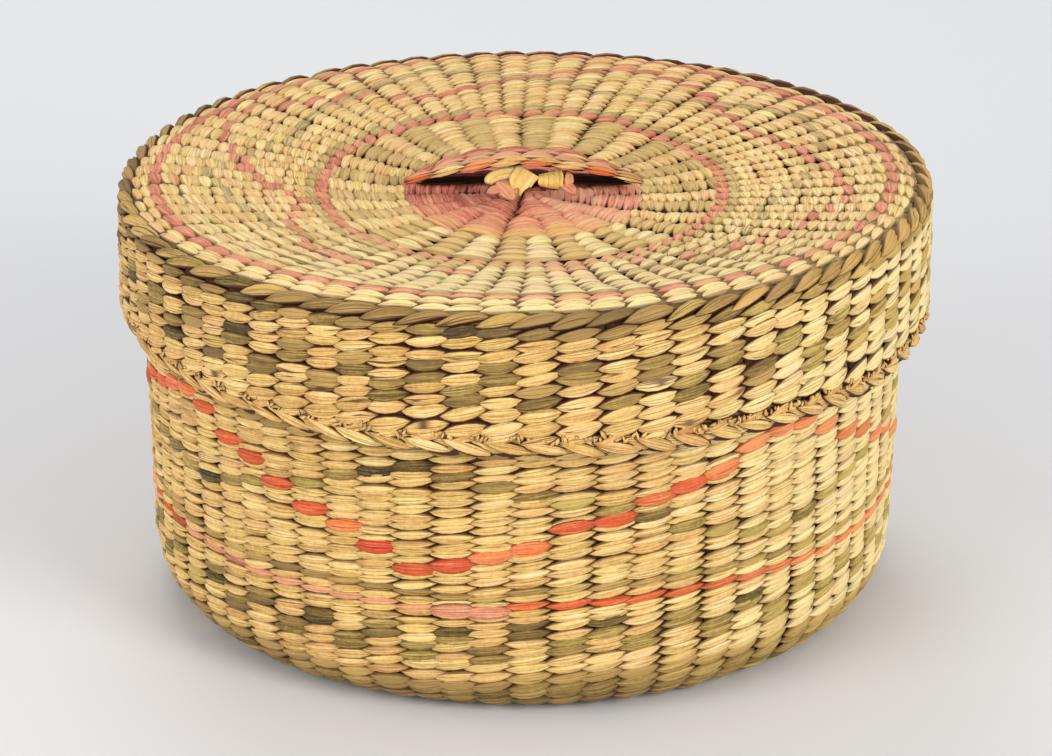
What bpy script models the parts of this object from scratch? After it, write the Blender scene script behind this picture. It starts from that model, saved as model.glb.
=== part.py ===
"""A low round twined basket with a close-fitting lid, built course band by course band.

Every size is in metres. The basket stands on z = 0 with its middle on the Z axis.
The wall has three layers, as a twined wall has: the outer turns of the weft, the warps, and the
inner turns of the weft. The lid sits over the basket's neck and slides up off it, and the strap
handle arches over the lid's start knot.
"""

import math

import bmesh
import bpy
from mathutils import Vector

MM = 0.001

# The wall's layers
OUTER_WEFT = 0.9 * MM
WARP_THICKNESS = 0.8 * MM
INNER_WEFT = 0.7 * MM
LAYER_GAP = 0.3 * MM
WALL = OUTER_WEFT + LAYER_GAP + WARP_THICKNESS + LAYER_GAP + INNER_WEFT
BAND_GAP = 0.3 * MM
LEAST_STEP = 0.2 * MM
BRAID_CORNER = 0.25 * WALL
SHARP_ANGLE = math.radians(40.0)

# Warps
WARP_WIDTH_AT_HUB = 2.0 * MM
WARP_WIDTH_AT_WALL = 3.4 * MM
WARP_SPACING_AT_HUB = 0.5 * MM
BODY_WARPS = 64
LID_WARPS = 72

# The basket
BODY_HEIGHT = 81.2 * MM
BODY_TOP_RADIUS = 75.8 * MM
BODY_FOOT_RADIUS = 73.8 * MM
BASE_CORNER_WIDTH = 11.8 * MM
BASE_CORNER_HEIGHT = 14.0 * MM
BASE_CORNER_STEPS = 3
BASE_FLAT_RADIUS = BODY_FOOT_RADIUS - BASE_CORNER_WIDTH
BODY_HUB_RADIUS = BODY_WARPS * (WARP_WIDTH_AT_HUB + WARP_SPACING_AT_HUB) / math.tau
BODY_SIDES = BODY_WARPS // 2

# The basket's bands, by height
FOOT_BAND = 8.9 * MM
LOWER_BAND = 4.5 * MM
CHECKER_BAND = 7.1 * MM
PLAIN_BAND = 2.8 * MM
COURSE = 1.5 * MM
FIELD_BAND = 27.7 * MM
UPPER_COURSE = 1.8 * MM
RIM_BRAID = 2.4 * MM

# The lid
LID_CLEARANCE = 1.2 * MM
LID_SEAT_GAP = 0.3 * MM
LID_DEPTH = 26.0 * MM
LID_TOP = BODY_HEIGHT + LID_SEAT_GAP + WALL
NECK_FOOT_HEIGHT = LID_TOP - LID_DEPTH
NECK_FOOT_SHARE = (NECK_FOOT_HEIGHT - BASE_CORNER_HEIGHT) / (BODY_HEIGHT - BASE_CORNER_HEIGHT)
NECK_FOOT_RADIUS = BODY_FOOT_RADIUS + NECK_FOOT_SHARE * (BODY_TOP_RADIUS - BODY_FOOT_RADIUS)
NECK_RADIUS = max(BODY_TOP_RADIUS, NECK_FOOT_RADIUS)
LID_RADIUS = NECK_RADIUS + LID_CLEARANCE + WALL
LID_SHOULDER_RADIUS = 4.0 * MM
LID_SHOULDER_STEPS = 2
LID_DISH = 3.6 * MM
LID_SEAT_MARGIN = 2.0 * MM
LID_DISH_RADIUS = BODY_TOP_RADIUS - WALL - LID_SEAT_MARGIN
LID_FLAT_HEIGHT = LID_TOP - LID_DISH
LID_HUB_RADIUS = LID_WARPS * (WARP_WIDTH_AT_HUB + WARP_SPACING_AT_HUB) / math.tau
LID_SIDES = LID_WARPS // 2

# The lid's rings
RED_CENTRE_RADIUS = 23.4 * MM
SPOKE_BAND = 15.0 * MM
RING_COURSE = 2.3 * MM
SHOULDER_BAND = 3.0 * MM
CROWN_BRAID_WIDTH = 3.6 * MM
SHOULDER_BAND_RADIUS = LID_RADIUS - CROWN_BRAID_WIDTH
OUTER_COURSE_RADIUS = SHOULDER_BAND_RADIUS - SHOULDER_BAND
ZIGZAG_FIELD = OUTER_COURSE_RADIUS - 3.0 * RING_COURSE - SPOKE_BAND - RED_CENTRE_RADIUS

# The skirt's bands, by height
CROWN_BRAID_DROP = 2.4 * MM
SKIRT_COURSE = 2.13 * MM
SKIRT_PLAIN_COURSES = 2
SKIRT_CHECKER_COURSES = 4
SKIRT_RIM_BRAID = 3.4 * MM

# The start knots
BASE_KNOT_SIDE = 11.0 * MM
BASE_KNOT_LIFT = 0.1 * MM
BASE_KNOT_HOLE_RADIUS = 8.4 * MM
LID_KNOT_LENGTH = 15.0 * MM
LID_KNOT_WIDTH = 6.2 * MM
LID_KNOT_HEIGHT = 2.4 * MM
LID_KNOT_STEM = 4.0 * MM
LID_KNOT_HOLE_RADIUS = 3.4 * MM
KNOT_ROUNDING = 0.8 * MM

# The strap handle
STRAP_SPAN = 47.0 * MM
STRAP_WIDTH = 7.0 * MM
STRAP_END_WIDTH = 2.0 * MM
STRAP_THICKNESS = 1.6 * MM
STRAP_RISE = 5.2 * MM
STRAP_AXIS_CLEARANCE = 1.5 * MM
STRAP_ARCH_POWER = 2.2
STRAP_STATIONS = 13

NATURAL = ("natural_fibre", (0.72, 0.55, 0.27, 1.0))
OLIVE = ("olive_fibre", (0.30, 0.28, 0.13, 1.0))
RED = ("red_fibre", (0.62, 0.16, 0.11, 1.0))
SPLINT = ("splint", (0.74, 0.58, 0.30, 1.0))


def fibre(finish):
    """The Principled material of one dye of fibre."""
    name, colour = finish
    found = bpy.data.materials.get(name)
    if found:
        return found
    material = bpy.data.materials.new(name)
    material.use_nodes = True
    shader = material.node_tree.nodes["Principled BSDF"]
    shader.inputs["Base Color"].default_value = colour
    shader.inputs["Roughness"].default_value = 0.7
    shader.inputs["Metallic"].default_value = 0.0
    material.diffuse_color = colour
    return material


def finish_object(name, mesh_data, finish, parent):
    """Closes the mesh, points its faces out and links it as a named object."""
    bmesh.ops.recalc_face_normals(mesh_data, faces=mesh_data.faces)
    mesh = bpy.data.meshes.new(name)
    mesh_data.to_mesh(mesh)
    mesh_data.free()
    mesh.shade_smooth()
    mesh.set_sharp_from_angle(angle=SHARP_ANGLE)
    mesh.materials.append(fibre(finish))
    obj = bpy.data.objects.new(name, mesh)
    bpy.context.scene.collection.objects.link(obj)
    obj.parent = parent
    obj.location = -parent.location
    return obj


def turned(name, outline, sides, finish, parent):
    """Spins a closed outline of (radius, height) points about the Z axis.

    An outline that starts and ends on the axis makes a solid with no hole.
    """
    data = bmesh.new()
    points = [data.verts.new((radius, 0.0, height)) for radius, height in outline]
    edges = [data.edges.new(pair) for pair in zip(points, points[1:])]
    on_axis = outline[0][0] == 0.0 and outline[-1][0] == 0.0
    if not on_axis:
        edges.append(data.edges.new((points[-1], points[0])))
    bmesh.ops.spin(
        data, geom=points + edges, cent=(0, 0, 0), axis=(0, 0, 1),
        angle=math.tau, steps=sides, use_merge=True,
    )
    bmesh.ops.remove_doubles(data, verts=data.verts, dist=0.001 * MM)
    return finish_object(name, data, finish, parent)


class Profile:
    """A wall's outer outline as a chain of (radius, height) points, from which layers are offset."""

    def __init__(self, points, inward):
        self.points = [Vector(point) for point in points]
        self.inward = inward
        self.lengths = [0.0]
        for a, b in zip(self.points, self.points[1:]):
            self.lengths.append(self.lengths[-1] + (b - a).length)

    def normal(self, index):
        """The unit direction into the wall at a point of the chain."""
        before = self.points[max(index - 1, 0)]
        after = self.points[min(index + 1, len(self.points) - 1)]
        along = (after - before).normalized()
        return Vector((-along.y, along.x)) * self.inward

    def at(self, length, depth):
        """The point this far along the chain and this deep in the wall."""
        length = min(max(length, 0.0), self.lengths[-1])
        index = max(i for i, start in enumerate(self.lengths[:-1]) if start <= length)
        share = (length - self.lengths[index]) / (self.lengths[index + 1] - self.lengths[index])
        point = self.points[index].lerp(self.points[index + 1], share)
        inward = self.normal(index).lerp(self.normal(index + 1), share).normalized()
        moved = point + inward * depth
        return (moved.x, moved.y)

    def crossing(self, axis, value, segments):
        """The length along the chain at which the first of these segments reaches the value."""
        for i in segments:
            a, b = self.points[i][axis], self.points[i + 1][axis]
            if min(a, b) <= value <= max(a, b) and a != b:
                return self.lengths[i] + (value - a) / (b - a) * (self.lengths[i + 1] - self.lengths[i])
        raise ValueError(f"no point of the wall is at {value}")

    def at_radius(self, radius):
        """The length at which the wall reaches a radius, from the middle outwards."""
        return self.crossing(0, radius, range(len(self.points) - 1))

    def at_height(self, height):
        """The length at which the wall reaches a height, from the open edge inwards."""
        return self.crossing(1, height, reversed(range(len(self.points) - 1)))

    def stations(self, start, end):
        """The start, the chain's own corners between, and the end."""
        low, high = start + LEAST_STEP, end - LEAST_STEP
        return [start] + [length for length in self.lengths if low < length < high] + [end]

    def band(self, start, end, outside=0.0, inside=OUTER_WEFT):
        """The closed outline of a layer between two lengths and two depths."""
        steps = self.stations(start, end)
        outer = [self.at(length, outside) for length in steps]
        inner = [self.at(length, inside) for length in reversed(steps)]
        return outer + inner


def body_profile():
    """From the base knot's hole to the corner of the base, and up the wall to the rim."""
    chain = [(BASE_KNOT_HOLE_RADIUS, 0.0)]
    for step in range(BASE_CORNER_STEPS + 1):
        turn = 0.5 * math.pi * step / BASE_CORNER_STEPS
        chain.append((
            BASE_FLAT_RADIUS + BASE_CORNER_WIDTH * math.sin(turn),
            BASE_CORNER_HEIGHT * (1.0 - math.cos(turn)),
        ))
    chain.append((BODY_TOP_RADIUS, BODY_HEIGHT))
    return Profile(chain, inward=1.0)


def lid_profile():
    """From the middle of the top over the dish to the shoulder, and down the skirt."""
    chain = [(0.0, LID_FLAT_HEIGHT), (LID_HUB_RADIUS, LID_FLAT_HEIGHT), (LID_DISH_RADIUS, LID_TOP)]
    for step in range(LID_SHOULDER_STEPS + 1):
        turn = 0.5 * math.pi * step / LID_SHOULDER_STEPS
        chain.append((
            LID_RADIUS - LID_SHOULDER_RADIUS * (1.0 - math.sin(turn)),
            LID_TOP - LID_SHOULDER_RADIUS * (1.0 - math.cos(turn)),
        ))
    chain.append((LID_RADIUS, LID_TOP - LID_DEPTH))
    return Profile(chain, inward=-1.0)


def on_sides(angle, sides):
    """How far in a flat side of a many-sided ring lies at this angle, as a share of its radius."""
    half = math.pi / sides
    return math.cos(half) / math.cos((angle % (2.0 * half)) - half)


def hub(data, count, radius, low, high):
    """The disc where the warps cross. Its rim holds one flat side for each warp, which is returned."""
    half = math.asin(0.5 * WARP_WIDTH_AT_HUB / radius)
    middles = [math.tau * k / count for k in range(count)]
    rim = [angle for middle in middles for angle in (middle - half, middle + half)]
    lower = [data.verts.new((radius * math.cos(a), radius * math.sin(a), low)) for a in rim]
    lifted = bmesh.ops.extrude_face_region(data, geom=[data.faces.new(lower)], use_keep_orig=True)
    upper = [item for item in lifted["geom"] if isinstance(item, bmesh.types.BMVert)]
    bmesh.ops.translate(data, verts=upper, vec=(0, 0, high - low))
    sides = [face for face in data.faces if len(face.verts) == 4]

    def side_at(middle):
        along = Vector((math.cos(middle), math.sin(middle), 0.0))
        return max(sides, key=lambda face: face.calc_center_median().dot(along))

    return [(middle, side_at(middle)) for middle in middles]


def warps(name, profile, count, sides, radius, stations, parent):
    """One hub where the warps cross, with each warp extruded from its rim along the wall."""
    data = bmesh.new()
    outside = OUTER_WEFT + LAYER_GAP
    inside = outside + WARP_THICKNESS
    crossing = profile.at_radius(radius)
    levels = sorted((profile.at(crossing, outside)[1], profile.at(crossing, inside)[1]))
    for angle, tip in hub(data, count, radius, *levels):
        along = Vector((math.cos(angle), math.sin(angle), 0.0))
        across = Vector((-along.y, along.x, 0.0))
        flat = on_sides(angle, sides)
        for length in stations:
            tip = bmesh.ops.extrude_discrete_faces(data, faces=[tip])["faces"][0]
            ends = (Vector(profile.at(length, outside)), Vector(profile.at(length, inside)))
            share = (ends[0].x - radius) / (LID_RADIUS - radius)
            width = WARP_WIDTH_AT_HUB + (WARP_WIDTH_AT_WALL - WARP_WIDTH_AT_HUB) * share
            place_tip(tip, along, across, width, flat, ends)
    return finish_object(name, data, SPLINT, parent)


def place_tip(tip, along, across, width, flat, ends):
    """Moves a warp's end face to its next station, each corner on its own side and layer."""
    def nearer_outside(vert):
        here = Vector((vert.co.dot(along), vert.co.z))
        return (here - ends[0]).length - (here - ends[1]).length

    corners = sorted(tip.verts, key=lambda vert: vert.co.dot(across))
    for side, pair in ((-0.5, corners[:2]), (0.5, corners[2:])):
        for vert, end in zip(sorted(pair, key=nearer_outside), ends):
            vert.co = along * (end.x * flat) + across * (side * width) + Vector((0, 0, end.y))


def loft(name, sections, finish, parent):
    """A closed solid through cross-sections of equally many points, capped at both ends."""
    data = bmesh.new()
    rings = [[data.verts.new(point) for point in section] for section in sections]
    data.faces.new(rings[0])
    data.faces.new(rings[-1])
    for first, second in zip(rings, rings[1:]):
        for i, (a, b) in enumerate(zip(first, second)):
            j = (i + 1) % len(first)
            data.faces.new((a, first[j], second[j], b))
    return finish_object(name, data, finish, parent)


def rectangle(length, width, height):
    """The corners of a level rectangle about the Z axis."""
    x, y = 0.5 * length, 0.5 * width
    return [(-x, -y, height), (x, -y, height), (x, y, height), (-x, y, height)]


def strap(parent):
    """The arched strap: one cross-section carried along the arch, narrow at both roots."""
    sections = []
    thick = 0.5 * STRAP_THICKNESS
    for station in range(STRAP_STATIONS):
        along = -1.0 + 2.0 * station / (STRAP_STATIONS - 1)
        height = parent.location.z + STRAP_RISE * (1.0 - abs(along) ** STRAP_ARCH_POWER)
        spread = math.sqrt(1.0 - along * along)
        half = 0.5 * (STRAP_END_WIDTH + (STRAP_WIDTH - STRAP_END_WIDTH) * spread)
        x = 0.5 * STRAP_SPAN * along
        sections.append([
            (x, -half, height - thick), (x, half, height - thick),
            (x, half, height + thick), (x, -half, height + thick),
        ])
    return loft("lid_handle_strap", sections, RED, parent)


def axis_empty(name, location):
    """The parent of one body's pieces, on the axis that it moves along or turns about."""
    axis = bpy.data.objects.new(name, None)
    axis.location = location
    bpy.context.scene.collection.objects.link(axis)
    return axis


def build_body(parent):
    """The basket under the lid."""
    wall = body_profile()
    half_gap = 0.5 * BAND_GAP
    flat_edge = wall.at_radius(BASE_FLAT_RADIUS)
    mat = wall.band(0.0, flat_edge - half_gap)
    turned("base_mat", mat, BODY_SIDES, NATURAL, parent)

    bands = (
        ("wall_foot_courses", FOOT_BAND, OLIVE),
        ("wall_lower_band", LOWER_BAND, NATURAL),
        ("wall_checker_band", CHECKER_BAND, OLIVE),
        ("wall_natural_band", PLAIN_BAND, NATURAL),
        ("wall_red_course", COURSE, RED),
        ("wall_natural_course", COURSE, NATURAL),
        ("wall_olive_course", COURSE, OLIVE),
        ("wall_zigzag_field", FIELD_BAND, NATURAL),
        ("wall_upper_olive_course", UPPER_COURSE, OLIVE),
        ("wall_neck_band", None, NATURAL),
    )
    rim_start = wall.at_height(BODY_HEIGHT - RIM_BRAID)
    start, level = flat_edge, 0.0
    for name, height, finish in bands:
        level += height or 0.0
        end = wall.at_height(level) if height else rim_start
        outline = wall.band(start + half_gap, end - half_gap)
        turned(name, outline, BODY_SIDES, finish, parent)
        start = end

    braid = braid_outline(wall, rim_start + half_gap)
    turned("body_rim_braid", braid, BODY_SIDES, NATURAL, parent)
    top = rim_start - half_gap
    lining = lining_outline(wall, top)
    turned("body_inner_weft", lining, BODY_SIDES, NATURAL, parent)
    steps = wall.stations(flat_edge, top)
    warps("body_warps", wall, BODY_WARPS, BODY_SIDES, BODY_HUB_RADIUS, steps, parent)

    levels = [
        rectangle(BASE_KNOT_SIDE, BASE_KNOT_SIDE, BASE_KNOT_LIFT),
        rectangle(BASE_KNOT_SIDE, BASE_KNOT_SIDE, OUTER_WEFT),
    ]
    loft("base_start_knot", levels, SPLINT, parent)


def braid_outline(wall, start):
    """A braid's outline over the whole wall, from this length to the edge, with its corners off."""
    end = wall.lengths[-1]
    return [
        wall.at(start, 0.0), wall.at(end - BRAID_CORNER, 0.0), wall.at(end, BRAID_CORNER),
        wall.at(end, WALL - BRAID_CORNER), wall.at(end - BRAID_CORNER, WALL), wall.at(start, WALL),
    ]


def lining_outline(wall, top):
    """The inner turns of the weft as one layer, closed across the middle."""
    outline = wall.band(0.0, top, WALL - INNER_WEFT, WALL)
    return [(0.0, outline[0][1])] + outline[1:-1] + [(0.0, outline[-1][1])]


def build_lid(parent):
    """The lid, from the start knot out to the shoulder and down the skirt."""
    wall = lid_profile()
    half_gap = 0.5 * BAND_GAP
    rings = (
        ("lid_red_centre", RED_CENTRE_RADIUS - LID_KNOT_HOLE_RADIUS, RED),
        ("lid_spoke_band", SPOKE_BAND, OLIVE),
        ("lid_inner_red_course", RING_COURSE, RED),
        ("lid_inner_olive_course", RING_COURSE, OLIVE),
        ("lid_zigzag_field", ZIGZAG_FIELD, NATURAL),
        ("lid_outer_red_course", RING_COURSE, RED),
        ("lid_shoulder_band", SHOULDER_BAND, NATURAL),
    )
    radius = LID_KNOT_HOLE_RADIUS
    for name, width, finish in rings:
        start = wall.at_radius(radius) + half_gap
        radius += width
        outline = wall.band(start, wall.at_radius(radius) - half_gap)
        turned(name, outline, LID_SIDES, finish, parent)

    skirt = (
        ("lid_crown_braid", CROWN_BRAID_DROP, OLIVE),
        ("skirt_olive_course", SKIRT_COURSE, OLIVE),
        ("skirt_natural_band", SKIRT_PLAIN_COURSES * SKIRT_COURSE, NATURAL),
        ("skirt_checker_band", SKIRT_CHECKER_COURSES * SKIRT_COURSE, OLIVE),
        ("skirt_lower_band", None, NATURAL),
    )
    braid_start = wall.lengths[-1] - SKIRT_RIM_BRAID
    start, level = wall.at_radius(SHOULDER_BAND_RADIUS), LID_TOP
    for name, height, finish in skirt:
        level -= height or 0.0
        end = wall.at_height(level) if height else braid_start
        outline = wall.band(start + half_gap, end - half_gap)
        turned(name, outline, LID_SIDES, finish, parent)
        start = end

    braid = braid_outline(wall, braid_start + half_gap)
    turned("skirt_rim_braid", braid, LID_SIDES, NATURAL, parent)
    top = braid_start - half_gap
    turned("lid_inner_weft", lining_outline(wall, top), LID_SIDES, NATURAL, parent)
    steps = wall.stations(wall.at_radius(LID_DISH_RADIUS), top)
    warps("lid_warps", wall, LID_WARPS, LID_SIDES, LID_HUB_RADIUS, steps, parent)
    build_lid_knot(parent)


def build_lid_knot(parent):
    """The start knot: a stem down to the warps, and a pillow of splints over the red centre."""
    low = LID_FLAT_HEIGHT + LAYER_GAP
    middle = low + 0.5 * LID_KNOT_HEIGHT
    high = low + LID_KNOT_HEIGHT
    small_length = LID_KNOT_LENGTH - 2.0 * KNOT_ROUNDING
    small_width = LID_KNOT_WIDTH - 2.0 * KNOT_ROUNDING
    levels = [
        rectangle(LID_KNOT_STEM, LID_KNOT_STEM, LID_FLAT_HEIGHT - OUTER_WEFT),
        rectangle(LID_KNOT_STEM, LID_KNOT_STEM, low),
        rectangle(small_length, small_width, low),
        rectangle(LID_KNOT_LENGTH, LID_KNOT_WIDTH, middle),
        rectangle(small_length, small_width, high),
    ]
    loft("lid_start_knot", levels, SPLINT, parent)


def main():
    for obj in list(bpy.data.objects):
        bpy.data.objects.remove(obj)
    basket = axis_empty("basket_origin", (0.0, 0.0, 0.0))
    lid = axis_empty("lid_lift_axis", (0.0, 0.0, LID_TOP - LID_DEPTH))
    handle = axis_empty("handle_tilt_axis", (0.0, 0.0, LID_FLAT_HEIGHT + STRAP_AXIS_CLEARANCE))
    build_body(basket)
    build_lid(lid)
    strap(handle)


main()
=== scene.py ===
"""Weaves the finish of a low round lidded basket round its frame, stitch by stitch.

A few strands are modelled as by hand and read as patterns. They are laid along the courses of the
basket and the lid by code, because thousands of stitches that each differ a little can't come from
a modifier. Angles run from the front of the basket, where -Y is, towards +X.
"""

import math

import bpy
import numpy as np
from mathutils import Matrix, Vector


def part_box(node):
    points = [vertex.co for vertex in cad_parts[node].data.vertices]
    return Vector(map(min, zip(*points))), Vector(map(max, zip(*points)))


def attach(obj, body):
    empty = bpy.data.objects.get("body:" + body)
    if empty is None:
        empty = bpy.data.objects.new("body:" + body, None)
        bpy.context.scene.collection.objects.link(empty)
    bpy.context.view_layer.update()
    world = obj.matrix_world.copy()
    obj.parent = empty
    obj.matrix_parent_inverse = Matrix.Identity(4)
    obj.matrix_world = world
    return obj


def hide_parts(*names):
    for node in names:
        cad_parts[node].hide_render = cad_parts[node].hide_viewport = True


bl_info = {
    "name": "Lidded basket",
    "version": (1, 0, 0),
    "blender": (4, 5, 0),
    "location": "View3D > Sidebar > Basket",
    "description": "Weaves a twined basket, its lid and its strap round their frame",
    "category": "Add Mesh",
}

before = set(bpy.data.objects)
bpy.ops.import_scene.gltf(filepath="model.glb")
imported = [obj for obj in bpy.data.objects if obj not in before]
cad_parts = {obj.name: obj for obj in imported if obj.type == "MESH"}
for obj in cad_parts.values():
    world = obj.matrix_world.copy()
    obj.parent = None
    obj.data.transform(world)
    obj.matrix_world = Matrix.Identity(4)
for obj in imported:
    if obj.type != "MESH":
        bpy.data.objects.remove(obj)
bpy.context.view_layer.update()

MM = 0.001
TURN = 2.0 * math.pi


def radius_of(node):
    """The outer radius of a turned frame node."""
    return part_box(node)[1].x


def bottom_of(node):
    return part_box(node)[0].z


def top_of(node):
    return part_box(node)[1].z


# Sizes that the frame holds
BODY_HEIGHT = top_of("body_rim_braid")
BODY_TOP_RADIUS = radius_of("body_rim_braid")
BASE_FLAT_RADIUS = radius_of("base_mat") + 0.15 * MM
LID_RADIUS = radius_of("skirt_rim_braid")
LID_TOP = top_of("lid_crown_braid")
LID_FOOT = bottom_of("skirt_rim_braid")
STRAP_HALF_SPAN = radius_of("lid_handle_strap")
STRAP_TOP = top_of("lid_handle_strap")

# Sizes of the weave
BODY_FOOT_RADIUS = 73.8 * MM
BASE_CORNER_HEIGHT = 14.0 * MM
BASE_HOLE_RADIUS = 8.4 * MM
LID_HUB_RADIUS = 28.65 * MM
LID_FLAT_HEIGHT = 80.9 * MM
LID_CREST_RADIUS = 71.8 * MM
LID_CREST_RISE = 0.9 * MM
LID_SHOULDER_RADIUS = 4.0 * MM
WALL_THICKNESS = 3.15 * MM
BODY_COLUMNS = 64
LID_COLUMNS = 72
STRAND_THICKNESS = 0.9 * MM
STRAND_FOOT = 0.95 * MM
CLEAR = 0.3 * MM
STRAP_AXIS_HEIGHT = 82.4 * MM
STRAP_THICKNESS = 1.6 * MM
STRAP_WIDTH = 7.0 * MM
STRAP_END_WIDTH = 2.0 * MM
STRAP_ARCH_POWER = 1.75


def linear(code):
    """An sRGB hex colour as the linear colour that the nodes take."""
    parts = [int(code[i:i + 2], 16) / 255.0 for i in (1, 3, 5)]
    curve = [p / 12.92 if p <= 0.04045 else ((p + 0.055) / 1.055) ** 2.4 for p in parts]
    return (*curve, 1.0)


def colour_property(name, description, code):
    return bpy.props.FloatVectorProperty(
        name=name, description=description, subtype="COLOR", size=4, min=0.0, max=1.0,
        default=linear(code),
    )


class BasketWeave(bpy.types.PropertyGroup):
    """How the strands lie."""

    overlap: bpy.props.FloatProperty(
        name="Overlap", description="Length of a stitch, as a share of its column's width",
        default=1.38, min=1.0, max=1.6, subtype="FACTOR",
    )
    cover: bpy.props.FloatProperty(
        name="Cover", description="Height of a stitch, as a share of its course's height",
        default=1.24, min=1.0, max=1.5, subtype="FACTOR",
    )
    slant: bpy.props.FloatProperty(
        name="Slant", description="Rise of a stitch from tip to tip, as a share of its course's height",
        default=0.62, min=0.0, max=1.5, subtype="FACTOR",
    )
    unevenness: bpy.props.FloatProperty(
        name="Unevenness", description="How far each stitch differs from the next",
        default=1.0, min=0.0, max=2.0, subtype="FACTOR",
    )
    warp: bpy.props.FloatProperty(
        name="Warp", description="How far the hand-made shape strays from round",
        default=0.45 * MM, min=0.0, max=1.0 * MM, subtype="DISTANCE", unit="LENGTH",
    )
    seed: bpy.props.IntProperty(
        name="Seed", description="Start of the unevenness", default=11, min=0,
    )


class BasketDyes(bpy.types.PropertyGroup):
    """The colours of the strands."""

    natural_dark: colour_property("Natural, dark", "Deep tone of the undyed strands", "#b27f3c")
    natural_mid: colour_property("Natural", "Common tone of the undyed strands", "#e8ba6e")
    natural_light: colour_property("Natural, light", "Pale tone of the undyed strands", "#fbe2a2")
    olive_dark: colour_property("Olive, dark", "Deep tone of the olive strands", "#241a08")
    olive_mid: colour_property("Olive", "Common tone of the olive strands", "#83682a")
    olive_light: colour_property("Olive, light", "Faded tone of the olive strands", "#c9ad5e")
    sage_dark: colour_property("Faded olive, dark", "Deep tone of the lid's olive strands", "#4e431d")
    sage_mid: colour_property("Faded olive", "Common tone of the lid's olive strands", "#a89258")
    sage_light: colour_property("Faded olive, light", "Pale tone of the lid's olive strands", "#e2cc92")
    red_dark: colour_property("Red, dark", "Deep tone of the red strands", "#b84424")
    red_mid: colour_property("Red", "Common tone of the red strands", "#e06830")
    red_light: colour_property("Red, light", "Faded tone of the red strands", "#f69a60")
    rose_dark: colour_property("Rose, dark", "Deep tone of the lid's centre", "#a84c40")
    rose_mid: colour_property("Rose", "Common tone of the lid's centre", "#e28c70")
    rose_light: colour_property("Rose, light", "Faded tone of the lid's centre", "#f6b998")
    splint_dark: colour_property("Splint, dark", "Deep tone of the split-wood strips", "#b98a45")
    splint_mid: colour_property("Splint", "Common tone of the split-wood strips", "#ebc066")
    splint_light: colour_property("Splint, light", "Pale tone of the split-wood strips", "#fadf98")
    # The pocket tones are painted shadow: near-black strands that stand for the shade behind and under the
    # strap
    pocket_dark: colour_property("Pocket, dark", "Deep tone behind the strap", "#060302")
    pocket_mid: colour_property("Pocket", "Common tone behind the strap", "#120604")
    pocket_light: colour_property("Pocket, light", "Pale tone behind the strap", "#6a3028")
    # The rib tones are painted shade: the splints are dark where they show in the gaps between the stitches
    rib_dark: colour_property("Rib, dark", "Deep tone of the splints inside the wall", "#2e1a0c")
    rib_mid: colour_property("Rib", "Common tone of the splints inside the wall", "#4e3218")
    rib_light: colour_property("Rib, light", "Pale tone of the splints inside the wall", "#6e4a26")
    # The gap tone is painted shade, mixed into the fold lines and round each stitch's outline
    gap: colour_property("Gap", "Tone in the gaps between strands", "#481f0c")
    floor: colour_property("Floor", "Colour of the floor and backdrop", "#e4e6ea")


def weave():
    return bpy.context.scene.basket_weave


def dyes():
    return bpy.context.scene.basket_dyes


def hump(angle, middle, reach):
    """One at the middle angle in degrees, falling smoothly to nothing at the reach."""
    away = np.abs((angle - math.radians(middle) + math.pi) % TURN - math.pi)
    return 0.5 + 0.5 * np.cos(np.minimum(away / math.radians(reach), 1.0) * math.pi)


# The brightly lit right side, whose stitches carry painted light, and how far round it reaches, in degrees
# from the front
LIT_SIDE = 72.0
LIT_SIDE_REACH = 75.0


def lit_side(angle):
    """How far this angle lies in the brightly lit side: the right side is paler, with fainter lines, as
    painted light.
    """
    return hump(angle, LIT_SIDE, LIT_SIDE_REACH)


# The walls

class Wall:
    """A woven wall's outer outline, as (radius, height) along its length from the middle.

    Each kind of wall names the body that it is part of, how many columns its stitches have at the
    rim, where the first column is, in columns, and the angle of the jog where a course meets the next.
    """

    STEP = 0.2 * MM
    ROUNDING = 7

    def __init__(self, corners, sense):
        corners = np.array(corners)
        legs = np.concatenate([[0.0], np.cumsum(np.hypot(*np.diff(corners, axis=0).T))])
        self.sense = sense
        self.rim_radius = corners[-1, 0]
        self.length = legs[-1]
        self.lengths = np.arange(0.0, self.length, self.STEP)
        self.radius = np.interp(self.lengths, legs, corners[:, 0])
        self.height = np.interp(self.lengths, legs, corners[:, 1])
        along = np.stack([np.gradient(self.radius), np.gradient(self.height)])
        kernel = np.ones(self.ROUNDING) / self.ROUNDING
        padded = np.pad(along, ((0, 0), (self.ROUNDING // 2,) * 2), mode="edge")
        along = np.stack([np.convolve(line, kernel, mode="valid") for line in padded])
        along /= np.hypot(*along)
        self.inward = np.stack([-along[1], along[0]]) * sense

    def at_radius(self, radius):
        """The length at which the wall first reaches a radius."""
        return self.lengths[np.argmax(self.radius >= radius - 1e-9)]

    def at_height(self, height):
        """The length at which the wall last passes a height."""
        above = self.height >= height
        change = np.nonzero(above[:-1] != above[1:])[0]
        return self.lengths[change[-1] + 1] if len(change) else self.length

    def column_angles(self):
        """The angle of each column at the rim."""
        return TURN * (np.arange(self.columns) + self.phase) / self.columns

    def reach(self, length):
        """How far one unit of angle reaches at this length."""
        return np.maximum(np.interp(length, self.lengths, self.radius), 1.0 * MM)

    def point(self, angle, length, depth):
        """The places at these angles, lengths and depths in the wall, as a hand makes it uneven."""
        radius = np.interp(length, self.lengths, self.radius)
        height = np.interp(length, self.lengths, self.height)
        radius = radius + depth * np.interp(length, self.lengths, self.inward[0])
        height = height + depth * np.interp(length, self.lengths, self.inward[1])
        past_end = np.maximum(length - self.lengths[-1], 0.0)
        height = height + self.sense * past_end
        radius, height = self.by_hand(angle, radius, height)
        return np.stack([radius * np.sin(angle), -radius * np.cos(angle), height], axis=-1)


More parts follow.
